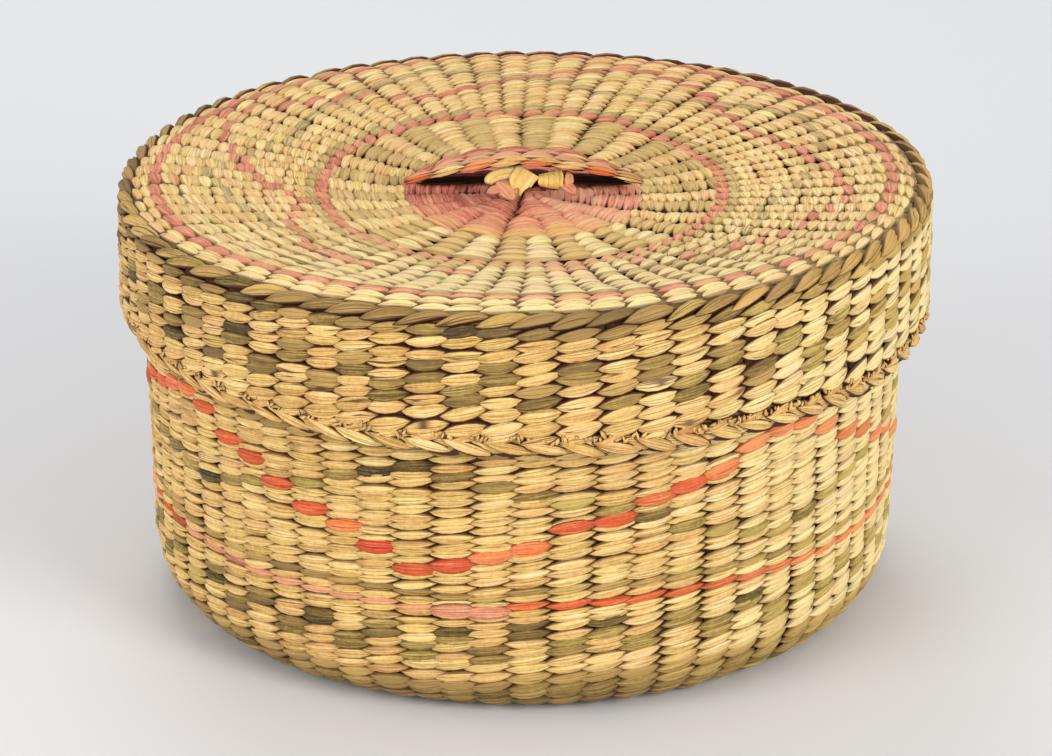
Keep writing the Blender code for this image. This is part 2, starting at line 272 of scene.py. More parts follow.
def out_of_round(angle):
    """How far the hand-made round strays outwards at this angle, from about -1 to 1."""
    return 0.55 * np.sin(2.0 * angle + 0.7) + 0.3 * np.sin(3.0 * angle + 2.1) + 0.2 * np.sin(5.0 * angle)


class BodyWall(Wall):
    """The basket from the hole in its base out to the corner and up to the rim."""

    body = "basket"
    columns = BODY_COLUMNS
    phase = 0.25
    jog = math.radians(-4.0)
    # How far the foot sits to the left, and how high the slow and the quick waves of a course are
    LEAN = 0.65 * MM
    WAVE = 0.35 * MM
    RIPPLE = 0.25 * MM

    def __init__(self):
        corner_width = BODY_FOOT_RADIUS - BASE_FLAT_RADIUS
        turns = np.linspace(0.0, 0.5 * math.pi, 16)
        corners = [(BASE_HOLE_RADIUS, 0.0)]
        corners += [
            (BASE_FLAT_RADIUS + corner_width * math.sin(t), BASE_CORNER_HEIGHT * (1.0 - math.cos(t)))
            for t in turns
        ]
        corners.append((BODY_TOP_RADIUS, BODY_HEIGHT))
        super().__init__(corners, 1.0)

    def by_hand(self, angle, radius, height):
        """The basket is a little out of round, and its foot sits a little to the left."""
        share = np.clip(height / BODY_HEIGHT, 0.0, 1.0)
        rim = np.clip(radius / BODY_TOP_RADIUS, 0.0, 1.0) ** 4
        stray = weave().warp * out_of_round(angle) * rim
        lean = -self.LEAN * (1.0 - share) * np.sin(angle) * rim
        waves = self.WAVE * np.sin(3.0 * angle + 1.0) + self.RIPPLE * np.sin(7.0 * angle + 14.0 * share)
        height = height + waves * np.sin(math.pi * share)
        return radius + stray + lean, np.maximum(height, 0.0)


class LidWall(Wall):
    """The lid from the middle of its top out to the shoulder and down the skirt."""

    body = "lid"
    columns = LID_COLUMNS
    phase = 0.5
    jog = math.radians(150.0)
    LONGER_IN_FRONT = 1.0 * MM
    LOWER_ON_RIGHT = 1.3 * MM
    TILT = 0.7 * MM
    # How much longer the inner rings are from front to back
    RING_STRETCH = 3.8 * MM
    # How much higher the top's rim is in front, and how far inwards it slopes
    FRONT_CREST = 1.3 * MM
    CREST_WIDTH = 7.0 * MM
    WAVE = 0.2 * MM

    def __init__(self):
        turns = np.linspace(0.0, 0.5 * math.pi, 12)
        shoulder = LID_RADIUS - LID_SHOULDER_RADIUS
        corners = [
            (0.0, LID_FLAT_HEIGHT), (LID_HUB_RADIUS, LID_FLAT_HEIGHT),
            (LID_CREST_RADIUS - 2.0 * MM, LID_TOP + 0.8 * LID_CREST_RISE),
            (LID_CREST_RADIUS, LID_TOP + LID_CREST_RISE),
            (LID_CREST_RADIUS + 1.6 * MM, LID_TOP + 0.8 * LID_CREST_RISE),
        ]
        corners += [
            (shoulder + LID_SHOULDER_RADIUS * math.sin(t),
             LID_TOP - LID_SHOULDER_RADIUS * (1.0 - math.cos(t)))
            for t in turns
        ]
        corners.append((LID_RADIUS, LID_FOOT))
        super().__init__(corners, -1.0)

    def by_hand(self, angle, radius, height):
        """The skirt is deeper in front and on the right, and the crown rises in front and on the right.

        The inner rings are longer from front to back than from side to side.
        """
        share = np.clip((LID_TOP - height) / (LID_TOP - LID_FOOT), 0.0, 1.0)
        rim = np.clip(radius / LID_RADIUS, 0.0, 1.0) ** 4
        stray = weave().warp * out_of_round(angle) * rim
        deeper = self.LONGER_IN_FRONT * np.cos(angle) + self.LOWER_ON_RIGHT * np.sin(angle)
        tilt = self.TILT * (np.sin(angle) + 0.7 * np.cos(angle)) * rim * (1.0 - share)
        waves = self.WAVE * (np.sin(4.0 * angle + 0.5) + np.sin(9.0 * angle + 2.0))
        middle = np.sin(math.pi * np.clip(radius / LID_RADIUS, 0.0, 1.0)) ** 2 * (share < 0.3)
        stretch = self.RING_STRETCH * (np.cos(angle) ** 2 - 0.1) * middle
        ridge = np.exp(-((radius - LID_CREST_RADIUS) / self.CREST_WIDTH) ** 2) * (1.0 - share)
        crest = self.FRONT_CREST * hump(angle, 0.0, 100.0) * ridge
        return radius + stray + stretch, height - deeper * share + tilt + crest + waves * share


class StrapWall:
    """The strap as a flat tube: a place along its arch, a place round it, and a depth."""

    body = "handle"
    sense = 1.0
    SAMPLES = 161
    TAPER_POWER = 3
    # Below 1 these square the tube's round section: first across it, then over it
    SIDE_POWER = 0.8
    LIFT_POWER = 0.6

    def __init__(self):
        places = np.linspace(-1.0, 1.0, self.SAMPLES)
        rise = STRAP_TOP - 0.5 * STRAP_THICKNESS - STRAP_AXIS_HEIGHT
        self.x = STRAP_HALF_SPAN * places
        self.z = STRAP_AXIS_HEIGHT + rise * (1.0 - np.abs(places) ** STRAP_ARCH_POWER)
        steps = np.hypot(np.diff(self.x), np.diff(self.z))
        self.lengths = np.concatenate([[0.0], np.cumsum(steps)])
        self.lengths -= 0.5 * self.lengths[-1]
        self.half_length = self.lengths[-1]
        self.girth = 2.0 * STRAP_WIDTH + 0.8 * STRAP_THICKNESS

    def reach(self, length):
        return np.ones_like(length)

    def point(self, along, around, depth):
        x = np.interp(along, self.lengths, self.x)
        z = np.interp(along, self.lengths, self.z)
        slope = np.interp(along, self.lengths, np.gradient(self.z, self.x))
        share = np.abs(x / STRAP_HALF_SPAN) ** self.TAPER_POWER
        half_width = 0.5 * (STRAP_WIDTH + (STRAP_END_WIDTH - STRAP_WIDTH) * share)
        turn = TURN * around / self.girth
        side, lift = np.cos(turn), np.sin(turn)
        side = np.sign(side) * np.abs(side) ** self.SIDE_POWER
        lift = np.sign(lift) * np.abs(lift) ** self.LIFT_POWER * (0.5 * STRAP_THICKNESS - depth)
        steep = 1.0 / np.hypot(1.0, slope)
        return np.stack([x - slope * steep * lift, -side * (half_width - depth), z + steep * lift], axis=-1)


# Patterns, modelled as by hand

def deselect():
    if bpy.context.mode != "OBJECT":
        bpy.ops.object.mode_set(mode="OBJECT")
    bpy.ops.object.select_all(action="DESELECT")


def pick(obj, chosen):
    """In edit mode, selects just the points that the rule chooses."""
    bpy.ops.mesh.select_mode(type="VERT")
    bpy.ops.mesh.select_all(action="DESELECT")
    bpy.ops.object.mode_set(mode="OBJECT")
    for vert in obj.data.vertices:
        vert.select = chosen(vert.co)
    bpy.ops.object.mode_set(mode="EDIT")


# A strand's outline: how soon it narrows towards its tips, and how blunt the tips are
LENS_POWER = 2.2
LENS_BLUNTNESS = 0.9
# How flat the strand is at its sides, and how fast it thins towards its tips
SIDE_FLATNESS = -0.45
TIP_THINNESS = 0.6


def model_strand(segments=16, rings=8, creases=()):
    """Half a ball drawn out into a strand's pointed lens along X, with creases from tip to tip.

    A crease is the number of the line of points that it lowers, and how far.
    """
    deselect()
    bpy.ops.mesh.primitive_uv_sphere_add(segments=segments, ring_count=rings, radius=1.0)
    obj = bpy.context.object
    bpy.ops.object.mode_set(mode="EDIT")
    bpy.ops.mesh.select_all(action="SELECT")
    bpy.ops.transform.rotate(value=0.5 * math.pi, orient_axis="Y", center_override=(0, 0, 0))
    bpy.ops.mesh.bisect(
        plane_co=(0, 0, 0), plane_no=(0, 0, 1), use_fill=True, clear_inner=True, threshold=1e-5,
    )
    for step in range(1, segments // 2):
        turn = TURN * step / segments
        height = dict(creases).get(step, 1.0) * math.sin(turn) ** SIDE_FLATNESS
        pick(obj, lambda co: co.z > 1e-4 and abs(math.atan2(co.z, co.y) - turn) < 0.02)
        bpy.ops.transform.resize(value=(1, 1, height), center_override=(0, 0, 0))
    for ring in range(1, rings):
        along = math.cos(math.pi * ring / rings)
        lens = (1.0 - abs(along) ** LENS_POWER) ** LENS_BLUNTNESS
        across = lens / math.sqrt(1.0 - along * along)
        pick(obj, lambda co: abs(co.x - along) < 0.01)
        bpy.ops.transform.resize(value=(1, across, across ** TIP_THINNESS), center_override=(along, 0, 0))
    bpy.ops.object.mode_set(mode="OBJECT")
    return obj


def model_strip(cuts, rounding=0.25):
    """A flat strip along X with softened edges, cut across so that it can be bent."""
    deselect()
    bpy.ops.mesh.primitive_cube_add(size=2.0)
    obj = bpy.context.object
    bpy.ops.object.mode_set(mode="EDIT")
    bpy.ops.mesh.select_all(action="SELECT")
    bpy.ops.mesh.bevel(offset=rounding, segments=1, affect="EDGES")
    for cut in range(1, cuts):
        bpy.ops.mesh.select_all(action="SELECT")
        bpy.ops.mesh.bisect(plane_co=(-1.0 + 2.0 * cut / cuts, 0, 0), plane_no=(1, 0, 0))
    bpy.ops.object.mode_set(mode="OBJECT")
    return obj


class Pattern:
    """One modelled shape read as arrays, from which copies are laid.

    A point's share is its place across the strand, and its crest how far it is from the outline.
    """

    def __init__(self, obj):
        mesh = obj.data
        self.points = np.array([v.co for v in mesh.vertices])
        self.corners = np.array([loop.vertex_index for loop in mesh.loops])
        self.starts = np.array([p.loop_start for p in mesh.polygons])
        along = np.round(self.points[:, 0], 2)
        across = np.abs(self.points[:, 1])
        widest = {x: across[along == x].max() for x in set(along)}
        widest = np.array([widest[x] for x in along])
        self.share = self.points[:, 1] / np.maximum(widest, 1e-3)
        self.crest = np.where(self.points[:, 2] > 1e-3, widest - across, 0.0)
        bpy.data.objects.remove(obj)


PATTERNS = {}
STRANDS = ("plain", "creased left", "creased right", "folded")
COARSE = ("inner",)


# Laying the patterns

# Copies read the material's pattern from places up to this far apart, in mm, so that no two match
PATTERN_SPREAD = 400.0
# How much darker a stitch is at its tips, where it dives under its neighbours
TIP_SHADE = 0.25
# Edges sharper than this stay sharp
SHARP_ANGLE = math.radians(62.0)


def mesh_of(name, parts):
    """One mesh from lists of (pattern, points of each copy, stitch values, places in mm)."""
    mesh = bpy.data.meshes.new(name)
    points, corners, starts, tones, places = [], [], [], [], []
    count = total = 0
    for pattern, laid, tone, place in parts:
        copies, each = laid.shape[:2]
        row = np.arange(copies)[:, None]
        points.append(laid.reshape(-1, 3))
        corners.append((pattern.corners[None] + count + each * row).ravel())
        starts.append((pattern.starts[None] + total + len(pattern.corners) * row).ravel())
        tones.append(tone.reshape(-1, 5))
        places.append(place[:, pattern.corners].reshape(-1, 2))
        count += copies * each
        total += copies * len(pattern.corners)
    points, corners, starts, tones = map(np.concatenate, (points, corners, starts, tones))
    mesh.vertices.add(len(points))
    mesh.vertices.foreach_set("co", points.ravel().astype(np.float32))
    mesh.loops.add(len(corners))
    mesh.loops.foreach_set("vertex_index", corners.astype(np.int32))
    mesh.polygons.add(len(starts))
    mesh.polygons.foreach_set("loop_start", starts.astype(np.int32))
    mesh.update(calc_edges=True)
    mesh.validate()
    stitch = mesh.color_attributes.new("stitch", "FLOAT_COLOR", "POINT")
    stitch.data.foreach_set("color", tones[:, :4].ravel().astype(np.float32))
    hue = mesh.attributes.new("hue", "FLOAT", "POINT")
    hue.data.foreach_set("value", tones[:, 4].astype(np.float32))
    strand = mesh.uv_layers.new(name="strand_mm")
    strand.data.foreach_set("uv", np.concatenate(places).ravel().astype(np.float32))
    mesh.shade_smooth()
    mesh.set_sharp_from_angle(angle=SHARP_ANGLE)
    return mesh


class Stitches:
    """Stitches as columns of numbers: each has a place, a size, a lean and a tone.

    Dive is how deep both tips go, tuck how much deeper the leading tip goes, and foot how deep the
    stitch's flat side lies. Line is how dark the painted shade round its outline is, and sides the
    share of that which its long sides show.
    """

    DEFAULTS = {
        "rise": 0.0, "bow": 0.0, "lean": 0.0, "thickness": STRAND_THICKNESS, "foot": STRAND_FOOT,
        "dive": 0.42 * MM, "tuck": 0.14 * MM, "plump": 0.14, "row": 0, "column": 0, "level": 0.0,
        "tone": 0.5, "fade": 0.0, "line": 1.0, "sides": 1.0, "hue": 0.5,
    }

    def __init__(self, **columns):
        columns = {**self.DEFAULTS, **columns}
        values = np.broadcast_arrays(*columns.values())
        self.columns = {name: np.atleast_1d(value) for name, value in zip(columns, values)}

    def __getattr__(self, name):
        return self.columns[name]

    def __len__(self):
        return len(self.columns["angle"])

    def where(self, chosen):
        return Stitches(**{name: values[chosen] for name, values in self.columns.items()})

    def changed(self, **columns):
        return Stitches(**{**self.columns, **columns})

    def scaled(self, **factors):
        return self.changed(**{name: self.columns[name] * by for name, by in factors.items()})

    def shifted(self, **steps):
        return self.changed(**{name: self.columns[name] + by for name, by in steps.items()})


def laid_on(wall, stitches, patterns, side, rng):
    """Each stitch's pattern bent on to the wall. Side is 1 on the outer face and -1 on the inner."""
    choice = rng.integers(0, len(patterns), len(stitches))
    flips = rng.choice((-1.0, 1.0), len(stitches))
    offset = rng.uniform(0.0, PATTERN_SPREAD, (len(stitches), 2))
    parts = []
    for index, pattern in enumerate(patterns):
        mine = np.nonzero(choice == index)[0]
        if not len(mine):
            continue
        at = {name: values[mine][:, None] for name, values in stitches.columns.items()}
        flip = flips[mine][:, None]
        x, y, z = pattern.points[:, 0] * flip, pattern.points[:, 1] * flip, pattern.points[:, 2]
        long = x * at["half_long"]
        high = y * at["half_high"] + x * at["rise"] + at["bow"] * (1.0 - x * x)
        along = long * np.cos(at["lean"]) - high * np.sin(at["lean"])
        up = long * np.sin(at["lean"]) + high * np.cos(at["lean"])
        angle = at["angle"] + along / wall.reach(at["length"])
        length = at["length"] + wall.sense * side * up
        lift = z * at["thickness"] - at["dive"] * x * x - at["tuck"] * x
        depth = at["foot"] - lift if side > 0 else WALL_THICKNESS - at["foot"] + lift
        points = wall.point(angle, length, depth)
        line = at["line"] * (at["sides"] + (1.0 - at["sides"]) * x * x)
        values = (at["tone"] - TIP_SHADE * x ** 4, pattern.crest, at["fade"], line, at["hue"])
        tone = np.stack(np.broadcast_arrays(*values), -1)
        tone = np.broadcast_to(tone, (*points.shape[:2], 5))
        place = np.stack([long, pattern.share * at["half_high"]], -1) / MM
        parts.append((pattern, points, tone, place + offset[mine][:, None]))
    return parts


def add_piece(name, parts, body, node, dye):
    """Makes laid parts one piece of one dye, which rides on a body and stands for its frame node."""
    mesh = mesh_of(name, parts)
    mesh.materials.append(fibre(dye))
    obj = bpy.data.objects.new(name, mesh)
    bpy.context.scene.collection.objects.link(obj)
    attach(obj, body)
    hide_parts(node)


def ribbons(pattern, paths, faces, widths, thickness, rng, tone=0.5, fade=0.0, line=1.0, hue=0.5):
    """Copies of a pattern bent along paths. Each lies flat to the faces given along its path."""
    paths, faces = np.asarray(paths, float), np.asarray(faces, float)
    copies, steps = paths.shape[:2]
    along = np.gradient(paths, axis=1)
    along /= np.linalg.norm(along, axis=2, keepdims=True)
    faces = np.broadcast_to(faces, paths.shape)
    faces = faces - along * np.sum(faces * along, axis=2, keepdims=True)
    faces = faces / np.linalg.norm(faces, axis=2, keepdims=True)
    across = np.cross(faces, along)
    x, y, z = pattern.points.T
    spot = (x + 1.0) / 2.0 * (steps - 1)
    low = np.clip(np.floor(spot).astype(int), 0, steps - 2)
    part = (spot - low)[None, :, None]

    def at(values):
        return values[:, low] * (1.0 - part) + values[:, low + 1] * part

    half_widths = at(np.broadcast_to(np.asarray(widths, float), (copies, steps))[..., None]) / 2.0
    sideways = at(across) * y[None, :, None] * half_widths
    points = at(paths) + sideways + at(faces) * z[None, :, None] * thickness
    lengths = np.linalg.norm(np.diff(paths, axis=1), axis=2).sum(axis=1)
    place = np.stack([x * lengths[:, None] / 2.0, pattern.share * half_widths[..., 0]], -1) / MM
    place = place + rng.uniform(0.0, PATTERN_SPREAD, (copies, 1, 2))
    values = [np.reshape(np.broadcast_to(value, copies), (copies, 1)) for value in (tone, fade, line, hue)]
    tone = np.stack(np.broadcast_arrays(values[0], pattern.crest, *values[1:]), -1)
    return [(pattern, points, tone, place)]


# Materials

def add_node(tree, kind, inputs=(), **settings):
    """Adds a node. An input takes a number, a colour or another node's socket."""
    made = tree.nodes.new(kind)
    for name, value in settings.items():
        setattr(made, name, value)
    sockets = {socket.identifier: socket for socket in made.inputs}
    for key, value in dict(inputs).items():
        socket = sockets[key] if key in sockets else made.inputs[key]
        if isinstance(value, bpy.types.NodeSocket):
            tree.links.new(value, socket)
        else:
            socket.default_value = value
    return made


# Real sizes in mm: fine fibres, the folds that a flattened strand dries into, patches of
# uneven fading, and specks. The fibres are drawn about three times as coarse as they are, to show.
STREAK_LENGTH = 8.0
STREAK_WIDTH = 0.32
FOLD_LENGTH = 40.0
FOLD_WIDTH = 1.0
FADE_PATCH = 22.0
SPECKLE = 0.9
# How much the fibres, folds, patches and specks each change the tone
SHARES = (1.7, 0.4, 0.2, 0.7)
# How much the specks and the fold lines change the height that the fibres give
SPECK_HEIGHT = 0.5
FOLD_HEIGHT = -1.3
BUMP_DEPTH = 0.2 * MM
# The tones between which the colour runs from dark to light
DARK_TONE = 0.05
LIGHT_TONE = 0.95
# The hues that a stitch turns to, where 0.5 is no turn
WARMEST = 0.47
COOLEST = 0.53
# Painted shade in a fold line and in the gap round the outline: how far from its middle each fades,
# and how dark it is
FOLD_LINE_SHADE = (0.0, 0.025, 0.6)
OUTLINE_SHADE = (0.05, 0.29, 0.95)
# Where a Mix node's outputs hold the colour
MIXED_COLOUR = 2


def strand_layers(tree):
    """The material's fibres, folds, patches and specks. Each is a noise round 0.5."""
    place = add_node(tree, "ShaderNodeUVMap", uv_map="strand_mm").outputs["UV"]
    where = add_node(tree, "ShaderNodeTexCoord").outputs["Object"]
    layers = []
    for vector, scale, detail, roughening in (
        (place, (1.0 / STREAK_LENGTH, 1.0 / STREAK_WIDTH, 1.0), 3.0, 0.6),
        (place, (1.0 / FOLD_LENGTH, 1.0 / FOLD_WIDTH, 1.0), 0.0, 0.5),
        (where, (1.0 / (FADE_PATCH * MM),) * 3, 2.0, 0.5),
        (where, (1.0 / (SPECKLE * MM),) * 3, 3.0, 0.7),
    ):
        spread = add_node(tree, "ShaderNodeMapping", {"Vector": vector, "Scale": scale}).outputs["Vector"]
        noise = {"Vector": spread, "Scale": 1.0, "Detail": detail, "Roughness": roughening}
        layers.append(add_node(tree, "ShaderNodeTexNoise", noise).outputs["Fac"])
    return layers


def strand_material(name, dark, mid, light, roughness, gloss, sheen):
    """A flattened dried strand: long fibres, folds along it, and painted shade in its fold lines and round
    its outline.
    """
    material = bpy.data.materials.new(name)
    material.use_nodes = True
    tree = material.node_tree
    tree.nodes.clear()
    stitch = add_node(tree, "ShaderNodeAttribute", attribute_name="stitch")
    parts = add_node(tree, "ShaderNodeSeparateColor", {"Color": stitch.outputs["Color"]})
    tone, crest, fade = (parts.outputs[key] for key in ("Red", "Green", "Blue"))
    line = stitch.outputs["Alpha"]
    hue = add_node(tree, "ShaderNodeAttribute", attribute_name="hue").outputs["Fac"]
    layers = strand_layers(tree)
    streaks, folds, _, speckle = layers

    centred = add_node(tree, "ShaderNodeMath", {0: tone, 1: 0.5 * sum(SHARES)}, operation="SUBTRACT")
    level = centred.outputs[0]
    for layer, share in zip(layers, SHARES):
        inputs = {0: layer, 1: share, 2: level}
        level = add_node(tree, "ShaderNodeMath", inputs, operation="MULTIPLY_ADD").outputs[0]
    ramp = add_node(tree, "ShaderNodeValToRGB", {"Fac": level})
    ramp.color_ramp.elements[0].position = DARK_TONE
    ramp.color_ramp.elements[0].color = dark
    ramp.color_ramp.elements[1].position = LIGHT_TONE
    ramp.color_ramp.elements[1].color = light
    ramp.color_ramp.elements.new(0.5).color = mid
    turned = add_node(tree, "ShaderNodeMapRange", {"Value": hue, "To Min": WARMEST, "To Max": COOLEST})
    colours = {"Color": ramp.outputs["Color"], "Hue": turned.outputs[0]}
    shade = add_node(tree, "ShaderNodeHueSaturation", colours).outputs["Color"]

    # How dark the painted shade of each line is: first on the folds, then round the outline
    from_middle = add_node(tree, "ShaderNodeMath", {0: folds, 1: 0.5}, operation="SUBTRACT").outputs[0]
    from_middle = add_node(tree, "ShaderNodeMath", {0: from_middle}, operation="ABSOLUTE").outputs[0]
    fold_line, outline = (
        add_node(
            tree, "ShaderNodeMapRange",
            {"Value": value, "From Min": low, "From Max": high, "To Min": depth, "To Max": 0.0},
            interpolation_type="SMOOTHSTEP",
        ).outputs[0]
        for value, (low, high, depth) in ((from_middle, FOLD_LINE_SHADE), (crest, OUTLINE_SHADE))
    )
    lines = [
        add_node(tree, "ShaderNodeMath", {0: depth, 1: line}, operation="MULTIPLY").outputs[0]
        for depth in (fold_line, outline)
    ]
    gap = dyes().gap
    for factor, colour in ((fade, dyes().natural_mid), (lines[0], gap), (lines[1], gap)):
        mixed = {"Factor_Float": factor, "A_Color": shade, "B_Color": colour}
        shade = add_node(tree, "ShaderNodeMix", mixed, data_type="RGBA").outputs[MIXED_COLOUR]

    height = streaks
    for layer, share in ((speckle, SPECK_HEIGHT), (fold_line, FOLD_HEIGHT)):
        inputs = {0: layer, 1: share, 2: height}
        height = add_node(tree, "ShaderNodeMath", inputs, operation="MULTIPLY_ADD").outputs[0]
    bump = add_node(tree, "ShaderNodeBump", {"Height": height, "Strength": 0.8, "Distance": BUMP_DEPTH})
    worn = add_node(
        tree, "ShaderNodeMapRange",
        {"Value": streaks, "From Min": 0.3, "From Max": 0.7,
         "To Min": roughness - 0.08, "To Max": roughness + 0.1},
    ).outputs[0]
    shader = add_node(
        tree, "ShaderNodeBsdfPrincipled",
        {"Base Color": shade, "Roughness": worn, "Normal": bump.outputs["Normal"], "IOR": 1.5,
         "Specular IOR Level": gloss, "Sheen Weight": sheen, "Sheen Roughness": 0.4},
    )
    add_node(tree, "ShaderNodeOutputMaterial", {"Surface": shader.outputs["BSDF"]})
    return material


MATERIALS = {}
SLOTS = {
    "natural": "natural_fibre", "olive": "olive_fibre", "sage": "olive_fibre", "red": "red_fibre",
    "rose": "red_fibre", "splint": "splint", "rib": "splint", "pocket": "red_fibre",
}
# For each dye: the material's name, its roughness, its gloss and its sheen
FINISHES = {
    # Grass dried in the sun keeps a thin waxy skin, so it has a soft satin gleam along its fibres
    "natural": ("sun-dried grass strand", 0.56, 0.4, 0.03),
    # Dye boiled into the grass takes some of the skin off, so it is a little duller
    "olive": ("olive-dyed grass strand", 0.6, 0.35, 0.02),
    # The lid's olive has faded in the light to a chalky grey-green
    "sage": ("light-faded olive-dyed grass strand", 0.64, 0.3, 0.02),
    "red": ("coral-dyed grass strand", 0.58, 0.35, 0.03),
    "rose": ("faded rose-dyed grass strand", 0.62, 0.3, 0.03),
    # Inner bark split by hand: paler and smoother than the grass
    "splint": ("split bark splint", 0.54, 0.4, 0.02),
    # The same splints inside the wall, painted dark and dull as painted shade where they show between the
    # stitches
    "rib": ("stained bark splint", 0.75, 0.2, 0.0),
    # Painted shadow: near-black strands stand for the shade behind and under the strap, and reflect nearly
    # no light
    "pocket": ("grass strand dark with handling", 0.9, 0.03, 0.0),
}


def fibre(dye):
    """The material of one dye, made when it is first asked for."""
    if dye not in MATERIALS:
        tones = [getattr(dyes(), f"{dye}_{tone}") for tone in ("dark", "mid", "light")]
        name, *finish = FINISHES[dye]
        MATERIALS[dye] = strand_material(name, *tones, *finish)
    return MATERIALS[dye]


# Courses

def seeded(name):
    """Random numbers that are the same each run and differ from band to band."""
    return np.random.default_rng([weave().seed, *name.encode()])


def hand(rng, count):
    """A function that gives this many numbers round a middle, as uneven as a hand lays stitches."""
    def near(middle, spread):
        return middle + spread * rng.standard_normal(count)

    return near


# The lit side: strands drawn shorter, and as painted light, tones paler and fainter lines
LIT_SIDE_SHORTENS = 0.1
LIT_SIDE_PAINTED_LIGHT = 0.46
LIT_SIDE_THINS_SHADE_LINES = 0.1
LIT_SIDE_CLEARS_SIDE_SHADE = 0.55


def course(wall, start, end, rows, rng, columns=None, phase=None, tone=0.5, line=1.0):
    """The stitches of one band of courses on a rising spiral, each a little different."""
    columns = columns or wall.columns
    phase = wall.phase if phase is None else phase
    row, column = [index.ravel() for index in np.indices((rows, columns))]
    count = len(row)
    uneven = weave().unevenness
    step = TURN / columns
    angle = step * (column + phase)
    # sun is how far the stitch lies in the lit side, where painted light makes its tone paler and its lines
    # fainter
    sun = lit_side(angle)
    pitch = abs(end - start) / rows
    turn = ((angle - wall.jog) % TURN) / TURN
    length = start + (end - start) / rows * (row + 1.0 - turn)
    half_long = 0.5 * step * wall.reach(length) * weave().overlap * (1.0 - LIT_SIDE_SHORTENS * sun)

    def about(middle, spread):
        return middle * (1.0 + spread * uneven * rng.standard_normal(count).clip(-2.0, 2.0))

    def stray(spread):
        return spread * uneven * rng.standard_normal(count).clip(-2.2, 2.2)

    ripple = 0.10 * np.sin(angle * 5.0 + row * 2.3) + 0.08 * np.sin(angle * 11.0 + row * 4.1)
    wander = 0.14 * np.sin(angle * 4.0 + length * 60.0) + 0.06 * np.sin(angle * 17.0 - length * 90.0)
    return Stitches(
        angle=angle + step * uneven * wander + step * stray(0.02),
        length=length + pitch * uneven * ripple + pitch * stray(0.03),
        half_long=about(half_long, 0.03),
        half_high=about(0.5 * pitch * weave().cover, 0.05),
        rise=about(0.5 * pitch * weave().slant, 0.25),
        bow=pitch * stray(0.05),
        thickness=about(STRAND_THICKNESS, 0.08),
        tone=tone + stray(0.07) + LIT_SIDE_PAINTED_LIGHT * sun,
        line=line * (1.0 - LIT_SIDE_THINS_SHADE_LINES * sun),
        sides=0.7 - LIT_SIDE_CLEARS_SIDE_SHADE * sun,
        hue=(0.56 + stray(0.07)).clip(0.0, 1.0),
        row=row, column=column, level=row + 1.0 - turn,
    )


def closed(stitches):
    """Stitches that overlap their neighbours further, so that no light comes through the wall."""
    return stitches.scaled(half_long=1.22, half_high=1.3)


def zigzag_level(angle, turns):
    """How many courses up a zigzag line is at each angle, from its turning points in degrees."""
    places = np.radians([place for place, _ in turns])
    rows = np.array([row for _, row in turns], float)
    places = np.concatenate([places - TURN, places, places + TURN])
    wrapped = (angle + math.pi) % TURN - math.pi
    return np.interp(wrapped, places, np.tile(rows, 3))


def on_zigzag(stitches, turns, joined):
    """Which stitches the zigzag strand shows on: the nearest in each column.

    A joined zigzag takes as many as its slope spans.
    """
    away = np.abs(stitches.level - zigzag_level(stitches.angle, turns))
    nearest = np.full(stitches.column.max() + 1, np.inf)
    np.minimum.at(nearest, stitches.column, away)
    half = 0.5 * TURN / len(nearest)
    span = zigzag_level(stitches.angle + half, turns) - zigzag_level(stitches.angle - half, turns)
    near = (away == nearest[stitches.column]) & (away <= 1.0)
    return near | (joined & (away <= 0.5 * np.abs(span)))


# Turning points of the zigzag strands: angle from the front in degrees, and courses up
BODY_RED_TURNS = (
    (-175, 1.5), (-120, 2.5), (-60, 15.5), (-14.5, 2.0), (-4, 3.8), (43, 15.3), (92, 1.5), (140, 14.5),
)
BODY_OLIVE_TURNS = (
    (-150, 14), (-105, 13), (-57, 5.5), (-15, 14.1), (43, 2.8), (95, 13.5), (150, 2),
)
LID_RED_TURNS = (
    (-160, 4.5), (-122, 13.5), (-80, 0.8), (-42, 6), (20, 0.5), (79, 10.5), (126, 4.5), (160, 12.5),
)
LID_OLIVE_TURNS = (
    (-163, 11.5), (-120, 4.5), (-93, 9.5), (-30, 0.5), (29, 6), (72, 2.5), (122, 11.5), (158, 4.5),
)


def dyes_of(kind, stitches, turns=((), ())):
    """The dye of each stitch of a band."""
    dye = np.full(len(stitches), kind if kind in SLOTS else "natural", dtype="<U8")
    if kind == "checker":
        dye[(stitches.row // 2 + stitches.column) % 2 == 1] = "olive"
    if kind == "spokes":
        dye[stitches.column % 2 == 1] = "olive"
    if "zigzag" in kind:
        joined = kind == "joined zigzag"
        dye[on_zigzag(stitches, turns[1], joined)] = "olive"
        dye[on_zigzag(stitches, turns[0], joined)] = "red"
    return dye


def dyed(stitches, dye, rng):
    """The stitches with each dye's own habit: red ones are plump, and olive ones fade by strands.

    The strands of the basket's zigzags are the plumpest, nearly two courses high.
    """
    uneven = weave().unevenness
    count = len(stitches)
    red, olive = dye == "red", dye == "olive"
    plump = np.where(red, 1.0 + stitches.plump, 1.0 + 0.5 * stitches.plump * olive)
    fade = np.where(olive, rng.uniform(0.0, 0.2, count) * uneven, 0.0)
    tone = stitches.tone + np.where(red | olive, 0.14 * uneven * rng.standard_normal(count), 0.0)
    longer = np.where(red, 1.04, 1.0)
    stitches = stitches.scaled(half_high=plump, thickness=plump ** 0.6, half_long=longer)
    # On the lit side the red strands are faded paler as painted light
    stitches = stitches.shifted(fade=fade + 0.2 * red * lit_side(stitches.angle), hue=-0.08 * red)
    return stitches.changed(tone=tone.clip(0.0, 1.0))


